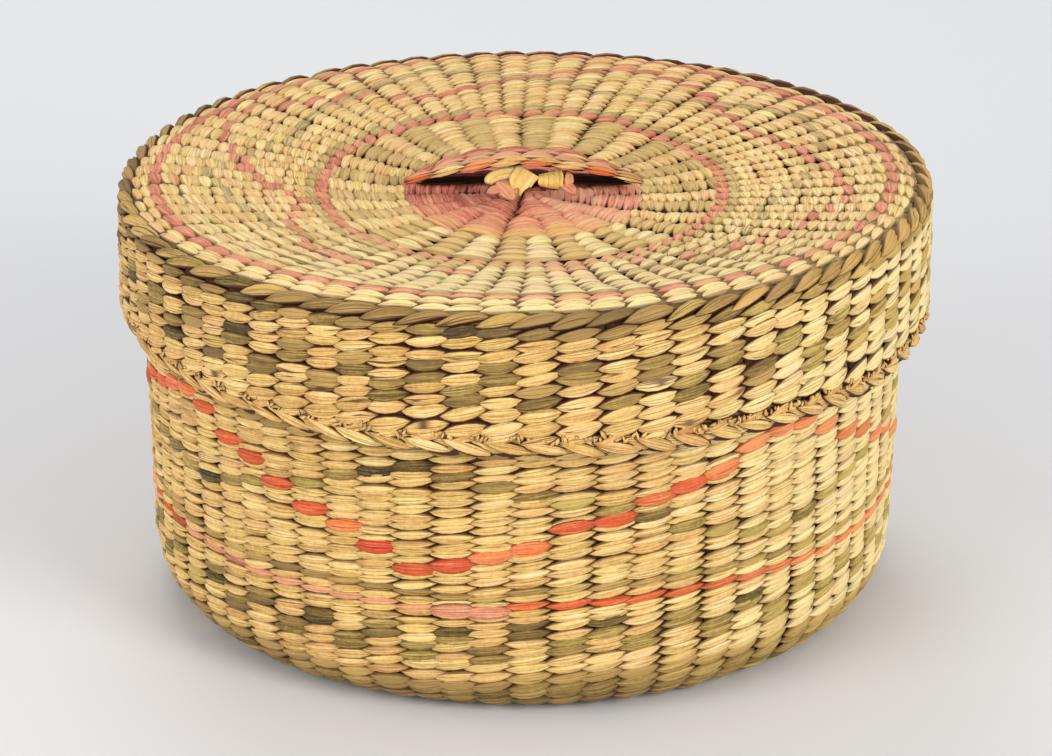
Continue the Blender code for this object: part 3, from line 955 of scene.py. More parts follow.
def lay_band(wall, node, stitches, dye, side=1, label="", patterns=STRANDS):
    """One piece for each dye of a band. The dye is one for all its stitches, or each one's own."""
    rng = seeded(node + label + "lay")
    dye = np.broadcast_to(dye, len(stitches))
    stitches = dyed(stitches, dye, rng)
    shapes = [PATTERNS[name] for name in patterns]
    for colour in sorted(set(dye)):
        parts = laid_on(wall, stitches.where(dye == colour), shapes, side, rng)
        add_piece(f"{node}{label}_{colour}_stitches", parts, wall.body, node, colour)


RIB_THICKNESS = 0.4 * MM


def ribs(wall, node, name, splits, end, width, widening):
    """The splints between a wall's two faces, up to its rim.

    All of them run outside the last split's radius, every other one outside the one before it,
    and so on inwards. They widen from the middle by the square of their radius.
    """
    rng = seeded(node)
    column = np.arange(wall.columns)
    starts = np.zeros(wall.columns)
    for power, radius in enumerate(reversed(splits)):
        starts[column % 2 ** power == 0] = wall.at_radius(radius)
    middle = 0.5 * WALL_THICKNESS
    steps = np.linspace(0.0, 1.0, 41)
    lengths = starts[:, None] * (1.0 - steps) + end * steps
    angles = wall.column_angles()[:, None]
    paths = wall.point(angles, lengths, middle)
    faces = wall.point(angles, lengths, middle - 0.5 * MM) - paths
    widths = width + widening * (wall.reach(lengths) / wall.rim_radius) ** 2
    parts = ribbons(
        PATTERNS["strip"], paths, faces, widths, RIB_THICKNESS, rng,
        tone=0.4 + 0.1 * rng.standard_normal(wall.columns), line=0.5,
    )
    # The splints take the dark rib dye, as painted shade for the gaps between the stitches
    add_piece(name, parts, wall.body, node, "rib")


# The pieces

class BASKET_OT_patterns(bpy.types.Operator):
    """Model the strand patterns that every course is laid from"""

    bl_idname = "basket.patterns"
    bl_label = "Strand patterns"

    def execute(self, context):
        PATTERNS["plain"] = Pattern(model_strand())
        PATTERNS["creased left"] = Pattern(model_strand(creases=((5, 0.72),)))
        PATTERNS["creased right"] = Pattern(model_strand(creases=((3, 0.72),)))
        PATTERNS["folded"] = Pattern(model_strand(creases=((4, 0.78), (6, 0.85))))
        PATTERNS["inner"] = Pattern(model_strand(segments=8, rings=6))
        PATTERNS["strip"] = Pattern(model_strip(30))
        PATTERNS["sheet"] = Pattern(model_strip(20, 0.07))
        return {"FINISHED"}


BODY_BANDS = (
    ("wall_foot_courses", 6, "foot"),
    ("wall_lower_band", 2, "natural"),
    ("wall_checker_band", 4, "checker"),
    ("wall_natural_band", 2, "natural"),
    ("wall_red_course", 1, "red"),
    ("wall_natural_course", 1, "natural"),
    ("wall_olive_course", 1, "olive"),
    ("wall_zigzag_field", 16, "zigzag"),
    ("wall_upper_olive_course", 1, "olive"),
    ("wall_neck_band", 12, "natural"),
)


class BASKET_OT_wall(bpy.types.Operator):
    """Weave the outer face of the basket's wall"""

    bl_idname = "basket.wall"
    bl_label = "Basket wall"

    def execute(self, context):
        wall = BodyWall()
        start = wall.at_radius(BASE_FLAT_RADIUS)
        for node, rows, kind in BODY_BANDS:
            end = wall.at_height(top_of(node) + 0.5 * CLEAR)
            rng = seeded(node)
            stitches = course(wall, start, end, rows, rng)
            dye = dyes_of(kind, stitches, (BODY_RED_TURNS, BODY_OLIVE_TURNS))
            if kind == "foot":
                dye[:] = "olive"
                # Its top course has faded most, and the whole foot is toned darker, partly for its deeper
                # olive and partly as painted shade near the bottom
                faded = np.where(stitches.row == rows - 1, 0.35, 0.25 * rng.random(len(stitches)))
                stitches = stitches.shifted(fade=faded, tone=-0.1)
            if kind == "olive":
                stitches = stitches.changed(fade=0.25)
            if kind == "zigzag":
                stitches = stitches.changed(plump=0.6)
            if kind == "red":
                stitches = self.folded_end(stitches)
                dye[stitches.fade > 0.02] = "rose"
            lay_band(wall, node, stitches, dye)
            start = end
        return {"FINISHED"}

    @staticmethod
    def folded_end(stitches):
        """The red course is paler to the left of its overlap, where its end is folded under."""
        pale = hump(stitches.angle, -30.0, 42.0) * (stitches.angle > math.pi)
        short_of_jog = TURN + BodyWall.jog - stitches.angle
        last = (short_of_jog > 0.0) & (short_of_jog < 0.11)
        stitches = stitches.shifted(fade=0.3 * pale, tone=0.05 * pale)
        return stitches.scaled(
            half_high=np.where(last, 2.0, 1.0), thickness=np.where(last, 1.8, 1.0),
            half_long=np.where(last, 1.15, 1.0),
        )


class BASKET_OT_base(bpy.types.Operator):
    """Weave the underside of the basket and cross the splints at its middle"""

    bl_idname = "basket.base"
    bl_label = "Basket base"

    # For each ring: its columns, where it ends, and its courses
    RINGS = ((16, 18.0 * MM, 5), (32, 36.0 * MM, 9), (BODY_COLUMNS, BASE_FLAT_RADIUS, 13))
    SPLINTS = 5
    SPLINT_PITCH = 2.1 * MM
    SPLINT_HALF_LENGTH = 7.6 * MM
    SPLINT_HEIGHT = 1.05 * MM
    SPLINT_WIDTH = 1.95 * MM
    SPLINT_THICKNESS = 0.27 * MM
    WEAVING = 0.28 * MM

    def execute(self, context):
        wall = BodyWall()
        start = 0.0
        for columns, radius, rows in self.RINGS:
            end = wall.at_radius(radius)
            rng = seeded(f"base{columns}")
            stitches = course(wall, start, end, rows, rng, columns).shifted(foot=0.1 * MM)
            lay_band(wall, "base_mat", stitches, "natural", 1, f"_{columns}", COARSE)
            start = end
        self.cross_splints()
        return {"FINISHED"}

    def cross_splints(self):
        """Splints over and under each other at the middle of the base."""
        rng = seeded("base_start_knot")
        paths = []
        places = (np.arange(self.SPLINTS) - 0.5 * (self.SPLINTS - 1)) * self.SPLINT_PITCH
        steps = np.linspace(-self.SPLINT_HALF_LENGTH, self.SPLINT_HALF_LENGTH, 61)
        crossings = (steps - places[0]) / self.SPLINT_PITCH
        for turned in (0, 1):
            for index, place in enumerate(places):
                weaving = self.WEAVING * np.cos(math.pi * (crossings + index + turned))
                height = self.SPLINT_HEIGHT + weaving
                across = np.full_like(steps, place)
                line = (steps, across, height) if turned else (across, steps, height)
                paths.append(np.stack(line, -1))
        parts = ribbons(
            PATTERNS["strip"], paths, (0.0, 0.0, -1.0), self.SPLINT_WIDTH, self.SPLINT_THICKNESS, rng, 0.45,
        )
        add_piece("base_crossed_splints", parts, "basket", "base_start_knot", "splint")


class BASKET_OT_body_rim(bpy.types.Operator):
    """Braid the ends of the splints down round the basket's rim"""

    bl_idname = "basket.body_rim"
    bl_label = "Basket rim"

    # How far under the rim's top the side leaves and the top leaves lie
    SIDES_DOWN = 2.0 * MM
    TOP_DOWN = 1.0 * MM
    HALF_LENGTH = 5.2 * MM
    HALF_HEIGHT = 1.2 * MM
    THICKNESS = 1.2 * MM
    LEAN = math.radians(11.0)
    TOP_WIDTH = 2.9 * MM
    TOP_THICKNESS = 0.5 * MM
    TOP_SLANT = 0.6 * MM

    def execute(self, context):
        wall = BodyWall()
        node = "body_rim_braid"
        for side, label in ((1, "_outer"), (-1, "_inner")):
            near = hand(seeded(node + label), wall.columns)
            leaves = Stitches(
                angle=wall.column_angles(), length=wall.at_height(BODY_HEIGHT - self.SIDES_DOWN),
                half_long=self.HALF_LENGTH, half_high=self.HALF_HEIGHT, lean=self.LEAN,
                thickness=self.THICKNESS, foot=self.THICKNESS, tone=near(0.5, 0.12),
            )
            lay_band(wall, node, leaves, "natural", side, label)
        rng = seeded(node + "_top")
        steps = np.linspace(-1.0, 1.0, 9)
        turns = wall.column_angles()[:, None] + 0.8 * TURN / wall.columns * steps
        depth = 0.5 * WALL_THICKNESS - self.TOP_SLANT * steps
        paths = wall.point(turns, wall.at_height(BODY_HEIGHT - self.TOP_DOWN), depth)
        parts = ribbons(
            PATTERNS["plain"], paths, (0.0, 0.0, 1.0), self.TOP_WIDTH, self.TOP_THICKNESS, rng,
            tone=0.45 + 0.12 * rng.standard_normal(wall.columns),
        )
        add_piece(node + "_top_natural_stitches", parts, "basket", node, "natural")
        return {"FINISHED"}


class BASKET_OT_body_inside(bpy.types.Operator):
    """Weave the inner face of the basket and set the splints between its two faces"""

    bl_idname = "basket.body_inside"
    bl_label = "Basket inside"

    ROWS = 38
    FLOOR_ROWS = 26
    # How far under the rim's top the inner face and the splints end
    RIM_DOWN = 2.0 * MM
    # Where the splints part, from the middle outwards
    SPLITS = (0.0, 18.0 * MM, 36.0 * MM)

    def execute(self, context):
        wall = BodyWall()
        node = "body_inner_weft"
        corner = wall.at_radius(BASE_FLAT_RADIUS)
        rim = wall.at_height(BODY_HEIGHT - self.RIM_DOWN)
        spans = ((0.0, corner, self.FLOOR_ROWS, "_floor"), (corner, rim, self.ROWS, "_wall"))
        for start, end, rows, label in spans:
            stitches = closed(course(wall, start, end, rows, seeded(node + label)))
            lay_band(wall, node, stitches, "natural", -1, label, COARSE)
        ribs(wall, "body_warps", "body_splints", self.SPLITS, rim, 1.6 * MM, 2.6 * MM)
        return {"FINISHED"}


# Name in the frame, courses, columns, pattern of dyes, how dark its lines are, how faded it is
LID_RINGS = (
    ("lid_spoke_band", 9, 36, "spokes", 0.6, 0.45),
    ("lid_inner_red_course", 1, 72, "red", 0.8, 0.15),
    ("lid_inner_olive_course", 1, 72, "olive", 0.8, 0.3),
    ("lid_zigzag_field", 14, 72, "joined zigzag", 0.9, 0.15),
    ("lid_outer_red_course", 1, 72, "red", 0.9, 0.1),
    ("lid_shoulder_band", 2, 72, "natural", 0.9, 0.0),
)
LID_HOLE_RADIUS = 1.6 * MM
# For each ring: its columns, where the first one is, where it ends, and its courses. The last one
# ends where the frame's red centre does.
RED_CENTRE_RINGS = ((9, 0.25, 14.0 * MM, 9), (18, 0.0, None, 9))


class BASKET_OT_lid_top(bpy.types.Operator):
    """Weave the outer face of the lid's top"""

    bl_idname = "basket.lid_top"
    bl_label = "Lid top"

    # The red centre's folds in front: how far out each has faded fully, where its end turns pale,
    # over what width, and how far the folds differ in that
    FADED_AT = 23.0 * MM
    PALE_FROM = 18.6 * MM
    PALE_OVER = 1.6 * MM
    FOLDS_DIFFER = 1.5 * MM
    # In front, how deep every other course sinks, and how far the ones between them rise, in
    # bands of at least so many courses
    SINK = 1.0 * MM
    HEAP = 0.35 * MM
    HEAPED_ROWS = 8

    def execute(self, context):
        wall = LidWall()
        start = self.weave_centre(wall)
        for node, rows, columns, kind, line, fade in LID_RINGS:
            end = wall.at_radius(radius_of(node) + 0.5 * CLEAR)
            rng = seeded(node)
            stitches = course(wall, start, end, rows, rng, columns, tone=0.68, line=line)
            dye = dyes_of(kind, stitches, (LID_RED_TURNS, LID_OLIVE_TURNS))
            dye[dye == "red"] = "rose"
            dye[dye == "olive"] = "sage"
            stitches = self.painted_light_and_fading(stitches, dye, fade, rng)
            if node == "lid_outer_red_course":
                pale = (stitches.column % 2) * np.minimum(2.0 * hump(stitches.angle, 30.0, 70.0), 1.0)
                stitches = stitches.changed(fade=0.1 + 0.4 * pale, hue=0.5)
            lay_band(wall, node, self.heaped(stitches, rows), dye)
            start = end
        return {"FINISHED"}

    def weave_centre(self, wall):
        """Weaves the red centre, and gives the length at which it ends."""
        node = "lid_red_centre"
        start = wall.at_radius(LID_HOLE_RADIUS)
        for columns, phase, radius, rows in RED_CENTRE_RINGS:
            end = wall.at_radius(radius or radius_of(node) + 0.5 * CLEAR)
            rng = seeded(f"{node}{columns}")
            stitches = course(wall, start, end, rows, rng, columns, phase, line=0.5)
            lay_band(wall, node, self.folded(stitches, rng), "rose", 1, f"_{columns}")
            start = end
        return start

    def painted_light_and_fading(self, stitches, dye, fade, rng):
        """The top is painted paler in front as painted light and darker on the lit right side as painted
        shade; its dyes are more faded in front, and its strands vary in hue.
        """
        rosy = dye == "rose"
        front = hump(stitches.angle, 0.0, 90.0)
        # Painted light and shade: paler in front, and darker on the lit right side
        bright = 0.32 * front - 0.36 * lit_side(stitches.angle) - 0.22 * rosy - 0.04
        hues = rng.standard_normal(len(stitches)).clip(-2.0, 2.0)
        stitches = stitches.scaled(half_high=1.06, half_long=0.92, thickness=0.9)
        return stitches.shifted(tone=bright).changed(
            fade=np.where(dye == "natural", 0.0, fade + 0.2 * front), sides=0.35 + 0.3 * front,
            hue=0.5 + np.where(rosy, 0.1, 0.13) * hues,
        )

    def folded(self, stitches, rng):
        """Each column of the red centre is one thick ribbed fold, and the folds fade in front."""
        front = hump(stitches.angle, 0.0, 85.0)
        shift = self.FOLDS_DIFFER * rng.standard_normal(stitches.column.max() + 1)[stitches.column]
        outer = np.clip((stitches.length + shift * front) / self.FADED_AT, 0.0, 1.0) ** 3
        edge = np.clip((stitches.length + shift - self.PALE_FROM) / self.PALE_OVER, 0.0, 1.0)
        stitches = stitches.scaled(half_high=1.25 + 0.3 * front, rise=0.3, thickness=1.0 + 0.6 * front)
        stitches = stitches.shifted(tone=0.4 * outer * front - 0.12, foot=0.15 * MM)
        return stitches.changed(
            bow=0.25 * MM * front, dive=0.8 * MM, fade=(0.5 * outer + 0.45 * edge) * front,
            hue=0.5 + 0.08 * rng.standard_normal(len(stitches)),
        )

    def heaped(self, stitches, rows):
        """In front, where the top rises to its rim, every other course is heaped over the next."""
        if rows < self.HEAPED_ROWS:
            return stitches
        front = hump(stitches.angle, 0.0, 75.0) * weave().unevenness
        over = np.where(stitches.row % 2 == 1, 1.0, -1.0) * front
        raised = np.maximum(over, 0.0)
        stitches = stitches.shifted(foot=self.SINK * (raised - over) - self.HEAP * raised)
        return stitches.scaled(half_high=1.0 + 0.7 * raised, thickness=1.0 + 0.4 * raised)


class BASKET_OT_painted_shadow(bpy.types.Operator):
    """Lay near-black strands behind the strap as painted shadow, where the strap shades the lid's centre"""

    bl_idname = "basket.pocket"
    bl_label = "Dark pocket"

    # Each row: how far behind the middle it is and half its length, both in mm, and its tone; the painted
    # shadow is darkest in the front rows
    ROWS = ((3.9, 20.0, 0.2), (5.6, 19.5, 0.3), (7.4, 15.0, 0.7), (8.8, 9.5, 1.0))
    STRANDS_IN_ROW = 4
    WIDTH = 2.7 * MM
    THICKNESS = 0.5 * MM
    HEIGHT = LID_FLAT_HEIGHT + 0.15 * MM
    # How far forward, in mm, a row has bent at this far from its middle
    BEND = 1.1
    BEND_AT = 19.0 * MM

    def execute(self, context):
        rng = seeded("pocket")
        steps = np.linspace(-1.0, 1.0, 9)
        paths, tones = [], []
        for back, half, tone in self.ROWS:
            for middle in np.linspace(-0.75, 0.75, self.STRANDS_IN_ROW) * half:
                tones.append(tone)
                x = (middle + 0.32 * half * steps) * MM
                y = (back - self.BEND * (x / self.BEND_AT) ** 2 + 0.2 * rng.standard_normal()) * MM
                paths.append(np.stack([x, y, np.full_like(x, self.HEIGHT)], -1))
        parts = ribbons(PATTERNS["plain"], paths, (0.0, 0.0, 1.0), self.WIDTH, self.THICKNESS, rng, tones)
        add_piece("lid_pocket_strands", parts, "lid", "lid_red_centre", "pocket")
        return {"FINISHED"}


class BASKET_OT_lid_knot(bpy.types.Operator):
    """Fold the cream splints that the lid was started from"""

    bl_idname = "basket.lid_knot"
    bl_label = "Lid start knot"

    # Each strip: its pattern, places along it in mm, which way it faces, its widths along it in mm,
    # its dye, and how faded it is
    STRIPS = (
        ("strip", ((-7.0, -3.2, 83.1), (-6.7, -2.9, 83.9), (-5.4, -2.3, 84.6), (-2.6, -1.9, 85.0),
                   (0.5, -1.8, 85.1)),
         (0.0, -0.8, 0.6), (1.7, 2.2, 2.4, 2.4, 2.2), "splint", 0.0),
        ("sheet", ((0.8, -2.1, 85.4), (0.1, -2.9, 84.6), (-0.8, -3.8, 83.6), (-1.0, -4.7, 82.5),
                   (-0.8, -5.6, 81.4)),
         (0.1, -0.7, 0.7), (5.0, 4.6, 4.6, 2.4, 0.2), "splint", 0.1),
        ("plain", ((-5.6, -2.8, 83.6), (-4.0, -3.8, 82.9), (-2.6, -5.4, 82.0), (-1.9, -7.6, 81.2)),
         (-0.2, -0.5, 0.85), (4.4, 4.4, 4.4, 4.4), "rose", 0.25),
        ("plain", ((-3.6, -3.6, 82.6), (-5.4, -4.4, 82.4), (-7.4, -5.2, 81.9)),
         (-0.1, -0.5, 0.85), (2.6, 2.6, 2.6), "rose", 0.0),
        ("plain", ((7.0, -2.4, 82.8), (8.6, -3.6, 82.6), (10.2, -5.6, 81.6)),
         (0.2, -0.5, 0.85), (3.2, 3.2, 3.2), "rose", 0.0),
        ("sheet", ((5.1, -1.3, 84.7), (5.2, -2.2, 84.4), (5.2, -2.9, 83.8), (5.2, -3.1, 83.0),
                   (5.1, -2.7, 82.4)),
         (0.0, -1.0, 0.1), (4.4, 5.0, 5.0, 4.8, 4.0), "splint", 0.0),
        ("strip", ((8.6, -0.9, 84.9), (8.8, -2.0, 84.3), (8.8, -2.7, 83.6), (8.5, -2.8, 82.3)),
         (0.1, -1.0, 0.2), (0.3, 1.6, 1.9, 1.1), "rose", 0.35),
    )
    THICKNESS = 0.35 * MM
    SMOOTHINGS = 4

    def execute(self, context):
        rng = seeded("lid_start_knot")
        steps = np.linspace(0.0, 1.0, 25)
        for index, (pattern, places, facing, widths, dye, fade) in enumerate(self.STRIPS):
            places = np.array(places) * MM
            spots = np.linspace(0.0, 1.0, len(places))
            path = np.stack([np.interp(steps, spots, line) for line in places.T], -1)
            for _ in range(self.SMOOTHINGS):
                path[1:-1] = (path[:-2] + path[1:-1] + path[2:]) / 3.0
            width = np.interp(steps, np.linspace(0.0, 1.0, len(widths)), widths) * MM
            line = 0.0 if pattern == "sheet" else 0.6
            # The strips' tone of 0.62 makes them paler than the base's splints: partly their own cream,
            # partly painted light against the strap's shadow
            parts = ribbons(
                PATTERNS[pattern], path[None], facing, width[None], self.THICKNESS, rng, 0.62, fade, line,
            )
            add_piece(f"lid_knot_strip_{index + 1}", parts, "lid", "lid_start_knot", dye)
        return {"FINISHED"}


class BASKET_OT_crown(bpy.types.Operator):
    """Braid the long olive stitches round the lid's shoulder"""

    bl_idname = "basket.crown"
    bl_label = "Lid crown braid"

    # How far down the shoulder the stitches lie, as a share, and their sizes
    DOWN = 0.58
    HALF_LENGTH = 6.6 * MM
    HALF_HEIGHT = 1.3 * MM
    RISE = 1.7 * MM
    THICKNESS = 1.7 * MM
    FOOT = 1.15 * MM

    def execute(self, context):
        wall = LidWall()
        node = "lid_crown_braid"
        rng = seeded(node)
        count = wall.columns
        step = TURN / count
        top = wall.at_radius(LID_RADIUS - LID_SHOULDER_RADIUS)
        bottom = wall.at_height(bottom_of(node))
        middle = (1.0 - self.DOWN) * top + self.DOWN * bottom
        near = hand(rng, count)
        stitches = Stitches(
            angle=near(wall.column_angles(), 0.06 * step), length=near(middle, 0.12 * MM),
            half_long=self.HALF_LENGTH * near(1.0, 0.05), half_high=self.HALF_HEIGHT * near(1.0, 0.1),
            rise=self.RISE * near(1.0, 0.15), bow=0.3 * MM, tuck=1.0 * MM, dive=0.5 * MM,
            thickness=self.THICKNESS, foot=self.FOOT, tone=near(0.3, 0.2).clip(0.0, 0.8),
            fade=rng.uniform(0.0, 0.5, count), hue=near(0.48, 0.1),
        )
        # sun marks the lit side, where the braid is painted paler, more faded and with fainter lines as
        # painted light
        sun = lit_side(stitches.angle)
        left = hump(stitches.angle, -80.0, 60.0)
        stitches = stitches.shifted(tone=0.4 * sun + 0.25 * left, fade=0.35 * sun, line=0.5 - 0.8 * sun)
        lay_band(wall, node, stitches, "olive")
        return {"FINISHED"}


SKIRT_BANDS = (
    ("skirt_olive_course", 1, "olive"),
    ("skirt_natural_band", 2, "natural"),
    ("skirt_checker_band", 4, "checker"),
    ("skirt_lower_band", 2, "natural"),
)


class BASKET_OT_skirt(bpy.types.Operator):
    """Weave the outer face of the lid's skirt"""

    bl_idname = "basket.skirt"
    bl_label = "Lid skirt"

    def execute(self, context):
        wall = LidWall()
        start = wall.at_height(top_of("skirt_olive_course") + 0.5 * CLEAR)
        for node, rows, kind in SKIRT_BANDS:
            end = wall.at_height(bottom_of(node) - 0.5 * CLEAR)
            rng = seeded(node)
            stitches = course(wall, start, end, rows, rng, tone=0.44, line=1.5).changed(sides=1.0)
            dye = dyes_of(kind, stitches)
            # sun marks the lit side, where the skirt is painted a little paler, with fainter lines, as
            # painted light
            sun = lit_side(stitches.angle)
            high = 0.94 if kind == "olive" else 1.05
            fade = 0.5 * rng.random(len(stitches)) ** 2 * (dye == "olive")
            tone = 0.05 * sun - 0.15 * (kind == "olive")
            fainter = 1.0 - 0.35 * sun
            stitches = stitches.scaled(half_high=high, half_long=1.03, thickness=1.15, line=fainter)
            stitches = stitches.shifted(fade=fade, tone=tone, foot=0.1 * MM)
            lay_band(wall, node, stitches, dye)
            start = end
        return {"FINISHED"}


class BASKET_OT_skirt_rim(bpy.types.Operator):
    """Braid the skirt's lower edge under the cut ends of its splints"""

    bl_idname = "basket.skirt_rim"
    bl_label = "Lid skirt rim"

    # Label, side, how far along from the edge, half length, half height, lean in degrees,
    # thickness, foot, and how many columns it is shifted round. The sizes are in mm.
    ROWS = (
        ("_under", 1, -1.5, 4.6, 1.7, -8.0, 0.8, 1.7, 0.5),
        ("_lower", 1, -1.2, 5.0, 1.15, -16.0, 1.3, 1.2, 0.0),
        ("_upper", 1, -2.7, 3.8, 0.9, 12.0, 1.1, 1.15, 0.0),
        ("_inner", -1, -1.2, 4.7, 1.5, 15.0, 1.2, 1.2, 0.0),
    )
    CUT_ENDS = 8 * LID_COLUMNS
    CUT_ENDS_UP = 3.2 * MM
    CUT_HALF_LENGTH = 0.7 * MM
    CUT_HALF_HEIGHT = 0.34 * MM
    CUT_THICKNESS = 0.5 * MM
    CUT_FOOT = 0.6 * MM

    def execute(self, context):
        wall = LidWall()
        node = "skirt_rim_braid"
        count = wall.columns
        step = TURN / count
        edge = wall.at_height(LID_FOOT + 1e-6)
        for label, side, up, half_long, half_high, lean, thickness, foot, shift in self.ROWS:
            near = hand(seeded(node + label), count)
            leaves = Stitches(
                angle=near(wall.column_angles() + shift * step, 0.07 * step),
                length=near(edge + up * MM, 0.1 * MM),
                half_long=half_long * MM * near(1.0, 0.06), half_high=half_high * MM * near(1.0, 0.08),
                lean=np.radians(near(lean, 3.0)), bow=0.2 * MM, dive=0.3 * MM, tuck=0.5 * MM,
                thickness=thickness * MM, foot=foot * MM,
                tone=near(0.46, 0.09), hue=near(0.53, 0.08), line=1.2,
            )
            lay_band(wall, node, leaves, "natural", side, label)
        self.cut_ends(wall, node, edge)
        return {"FINISHED"}

    def cut_ends(self, wall, node, edge):
        """The splints' ends, cut short over the braid."""
        near = hand(seeded(node + "ends"), self.CUT_ENDS)
        ends = Stitches(
            angle=TURN * near(np.arange(self.CUT_ENDS), 0.35) / self.CUT_ENDS,
            length=near(edge - self.CUT_ENDS_UP, 0.3 * MM),
            half_long=self.CUT_HALF_LENGTH * near(1.0, 0.25).clip(0.5, 1.6),
            half_high=self.CUT_HALF_HEIGHT * near(1.0, 0.25).clip(0.5, 1.6),
            lean=np.radians(near(70.0, 45.0)), thickness=self.CUT_THICKNESS,
            foot=near(self.CUT_FOOT, 0.15 * MM), dive=0.1 * MM, tuck=0.1 * MM,
            tone=near(0.3, 0.2), fade=0.4, hue=0.4,
        )
        lay_band(wall, node, ends, "splint", 1, "_cut_ends", COARSE)


class BASKET_OT_lid_inside(bpy.types.Operator):
    """Weave the inner face of the lid and set the splints between its two faces"""

    bl_idname = "basket.lid_inside"
    bl_label = "Lid inside"

    # For each ring: its columns, where it ends, and its courses
    RINGS = ((9, 9.4 * MM, 5), (18, 23.55 * MM, 7), (36, 40.0 * MM, 8), (72, 78.6 * MM, 18))
    SKIRT_ROWS = 10
    SPLITS = (2.0 * MM, 9.4 * MM, 23.5 * MM, 40.0 * MM)
    # Over the basket's rim the inner face stands back: between which radii, and how far
    PRESSED_FROM = 61.0 * MM
    PRESSED_TO = 67.0 * MM
    PRESSED = 0.95 * MM
    EDGE_UP = 2.2 * MM

    def execute(self, context):
        wall = LidWall()
        node = "lid_inner_weft"
        start = wall.at_radius(LID_HOLE_RADIUS)
        for columns, radius, rows in self.RINGS:
            end = wall.at_radius(radius)
            stitches = closed(course(wall, start, end, rows, seeded(f"{node}{columns}"), columns))
            further_out = wall.reach(stitches.length) - self.PRESSED_FROM
            pressed = np.clip(further_out / (self.PRESSED_TO - self.PRESSED_FROM), 0.0, 1.0)
            stitches = stitches.shifted(foot=self.PRESSED * pressed)
            lay_band(wall, node, stitches, "natural", -1, f"_{columns}", COARSE)
            start = end
        start = wall.at_height(LID_TOP - WALL_THICKNESS)
        end = wall.at_height(LID_FOOT + self.EDGE_UP)
        # One course more at the corner, so that the spiral's start leaves no gap there
        start -= (end - start) / self.SKIRT_ROWS
        stitches = closed(course(wall, start, end, self.SKIRT_ROWS + 1, seeded(node + "skirt")))
        lay_band(wall, node, stitches, "natural", -1, "_skirt", COARSE)
        ribs(wall, "lid_warps", "lid_splints", self.SPLITS, end, 1.4 * MM, 2.8 * MM)
        return {"FINISHED"}


class BASKET_OT_strap(bpy.types.Operator):
    """Sew the arched strap from cream and red strands"""

    bl_idname = "basket.strap"
    bl_label = "Strap"

    # For each row, from the lower front edge over the top and under: how faded it is, and its
    # dyes from left to right
    ROWS = (
        (0.1, ("red", "natural", "red", "natural", "red", "natural", "red", "natural")),
        (0.15, ("red", "natural", "red", "natural", "natural", "natural", "red", "natural")),
        (0.45, ("rose",) * 8),
        (0.1, ("rose", "rose", "natural", "rose", "rose", "natural", "rose", "rose")),
        (0.0, ("rose",) * 8),
        (0.0, ("rose",) * 8),
        # Painted shadow: the two rows under the strap take the near-black pocket dye
        (0.0, ("pocket",) * 8),
        (0.0, ("pocket",) * 8),
    )
    THICKNESS = 0.85 * MM
    FOOT = 0.6 * MM

    def execute(self, context):
        wall = StrapWall()
        node = "lid_handle_strap"
        fades = np.array([fade for fade, _ in self.ROWS])
        row_dyes = np.array([row_dye for _, row_dye in self.ROWS])
        rows, columns = row_dyes.shape
        row, column = [index.ravel() for index in np.indices(row_dyes.shape)]
        near = hand(seeded(node), len(row))
        step = 2.0 * wall.half_length / columns
        pitch = wall.girth / rows
        # Every other row is shifted along, less towards the strap's ends
        middle = 0.5 * (columns - 1)
        shift = np.where(row % 2 == 1, 0.25, -0.1) * (1.0 - np.abs(column - middle) / middle)
        along = -wall.half_length + step * (column + 0.5 + shift)
        slim = 1.0 - 0.45 * np.abs(along / wall.half_length) ** 3
        stitches = Stitches(
            angle=along, length=pitch * (row - 0.1), half_long=0.66 * step,
            half_high=0.68 * pitch * slim * near(1.0, 0.06),
            rise=0.25 * pitch, thickness=self.THICKNESS * slim, foot=self.FOOT, dive=0.25 * MM,
            tone=near(0.58, 0.12).clip(0.0, 1.0), line=0.85, hue=near(0.5, 0.1), fade=fades[row],
        )
        lay_band(wall, node, stitches, row_dyes.ravel())
        return {"FINISHED"}


# The stage

CAMERA_DISTANCE = 0.96
CAMERA_ELEVATION = math.radians(22.0)
CAMERA_TARGET = Vector((0.0004, 0.0, 0.041))
IMAGE_WIDTH = 1052
FOCAL_PIXELS = 4823
SENSOR_WIDTH = 36.0
FLOOR_SIZE = 6.0
FLOOR_HEIGHT = -0.2 * MM
# Each lamp: its name, place, size, power and colour
LAMPS = (
    ("key lamp", (0.8, -0.9, 0.6), 0.6, 8.6, "#fffcf8"),
    ("fill lamp", (-0.9, -0.75, 0.45), 0.9, 7.4, "#fcfaf8"),
    ("back lamp", (-0.2, 0.8, 1.0), 0.7, 4.0, "#ffffff"),
)
ROOM_COLOUR = "#f0efee"
ROOM_LIGHT = 0.62


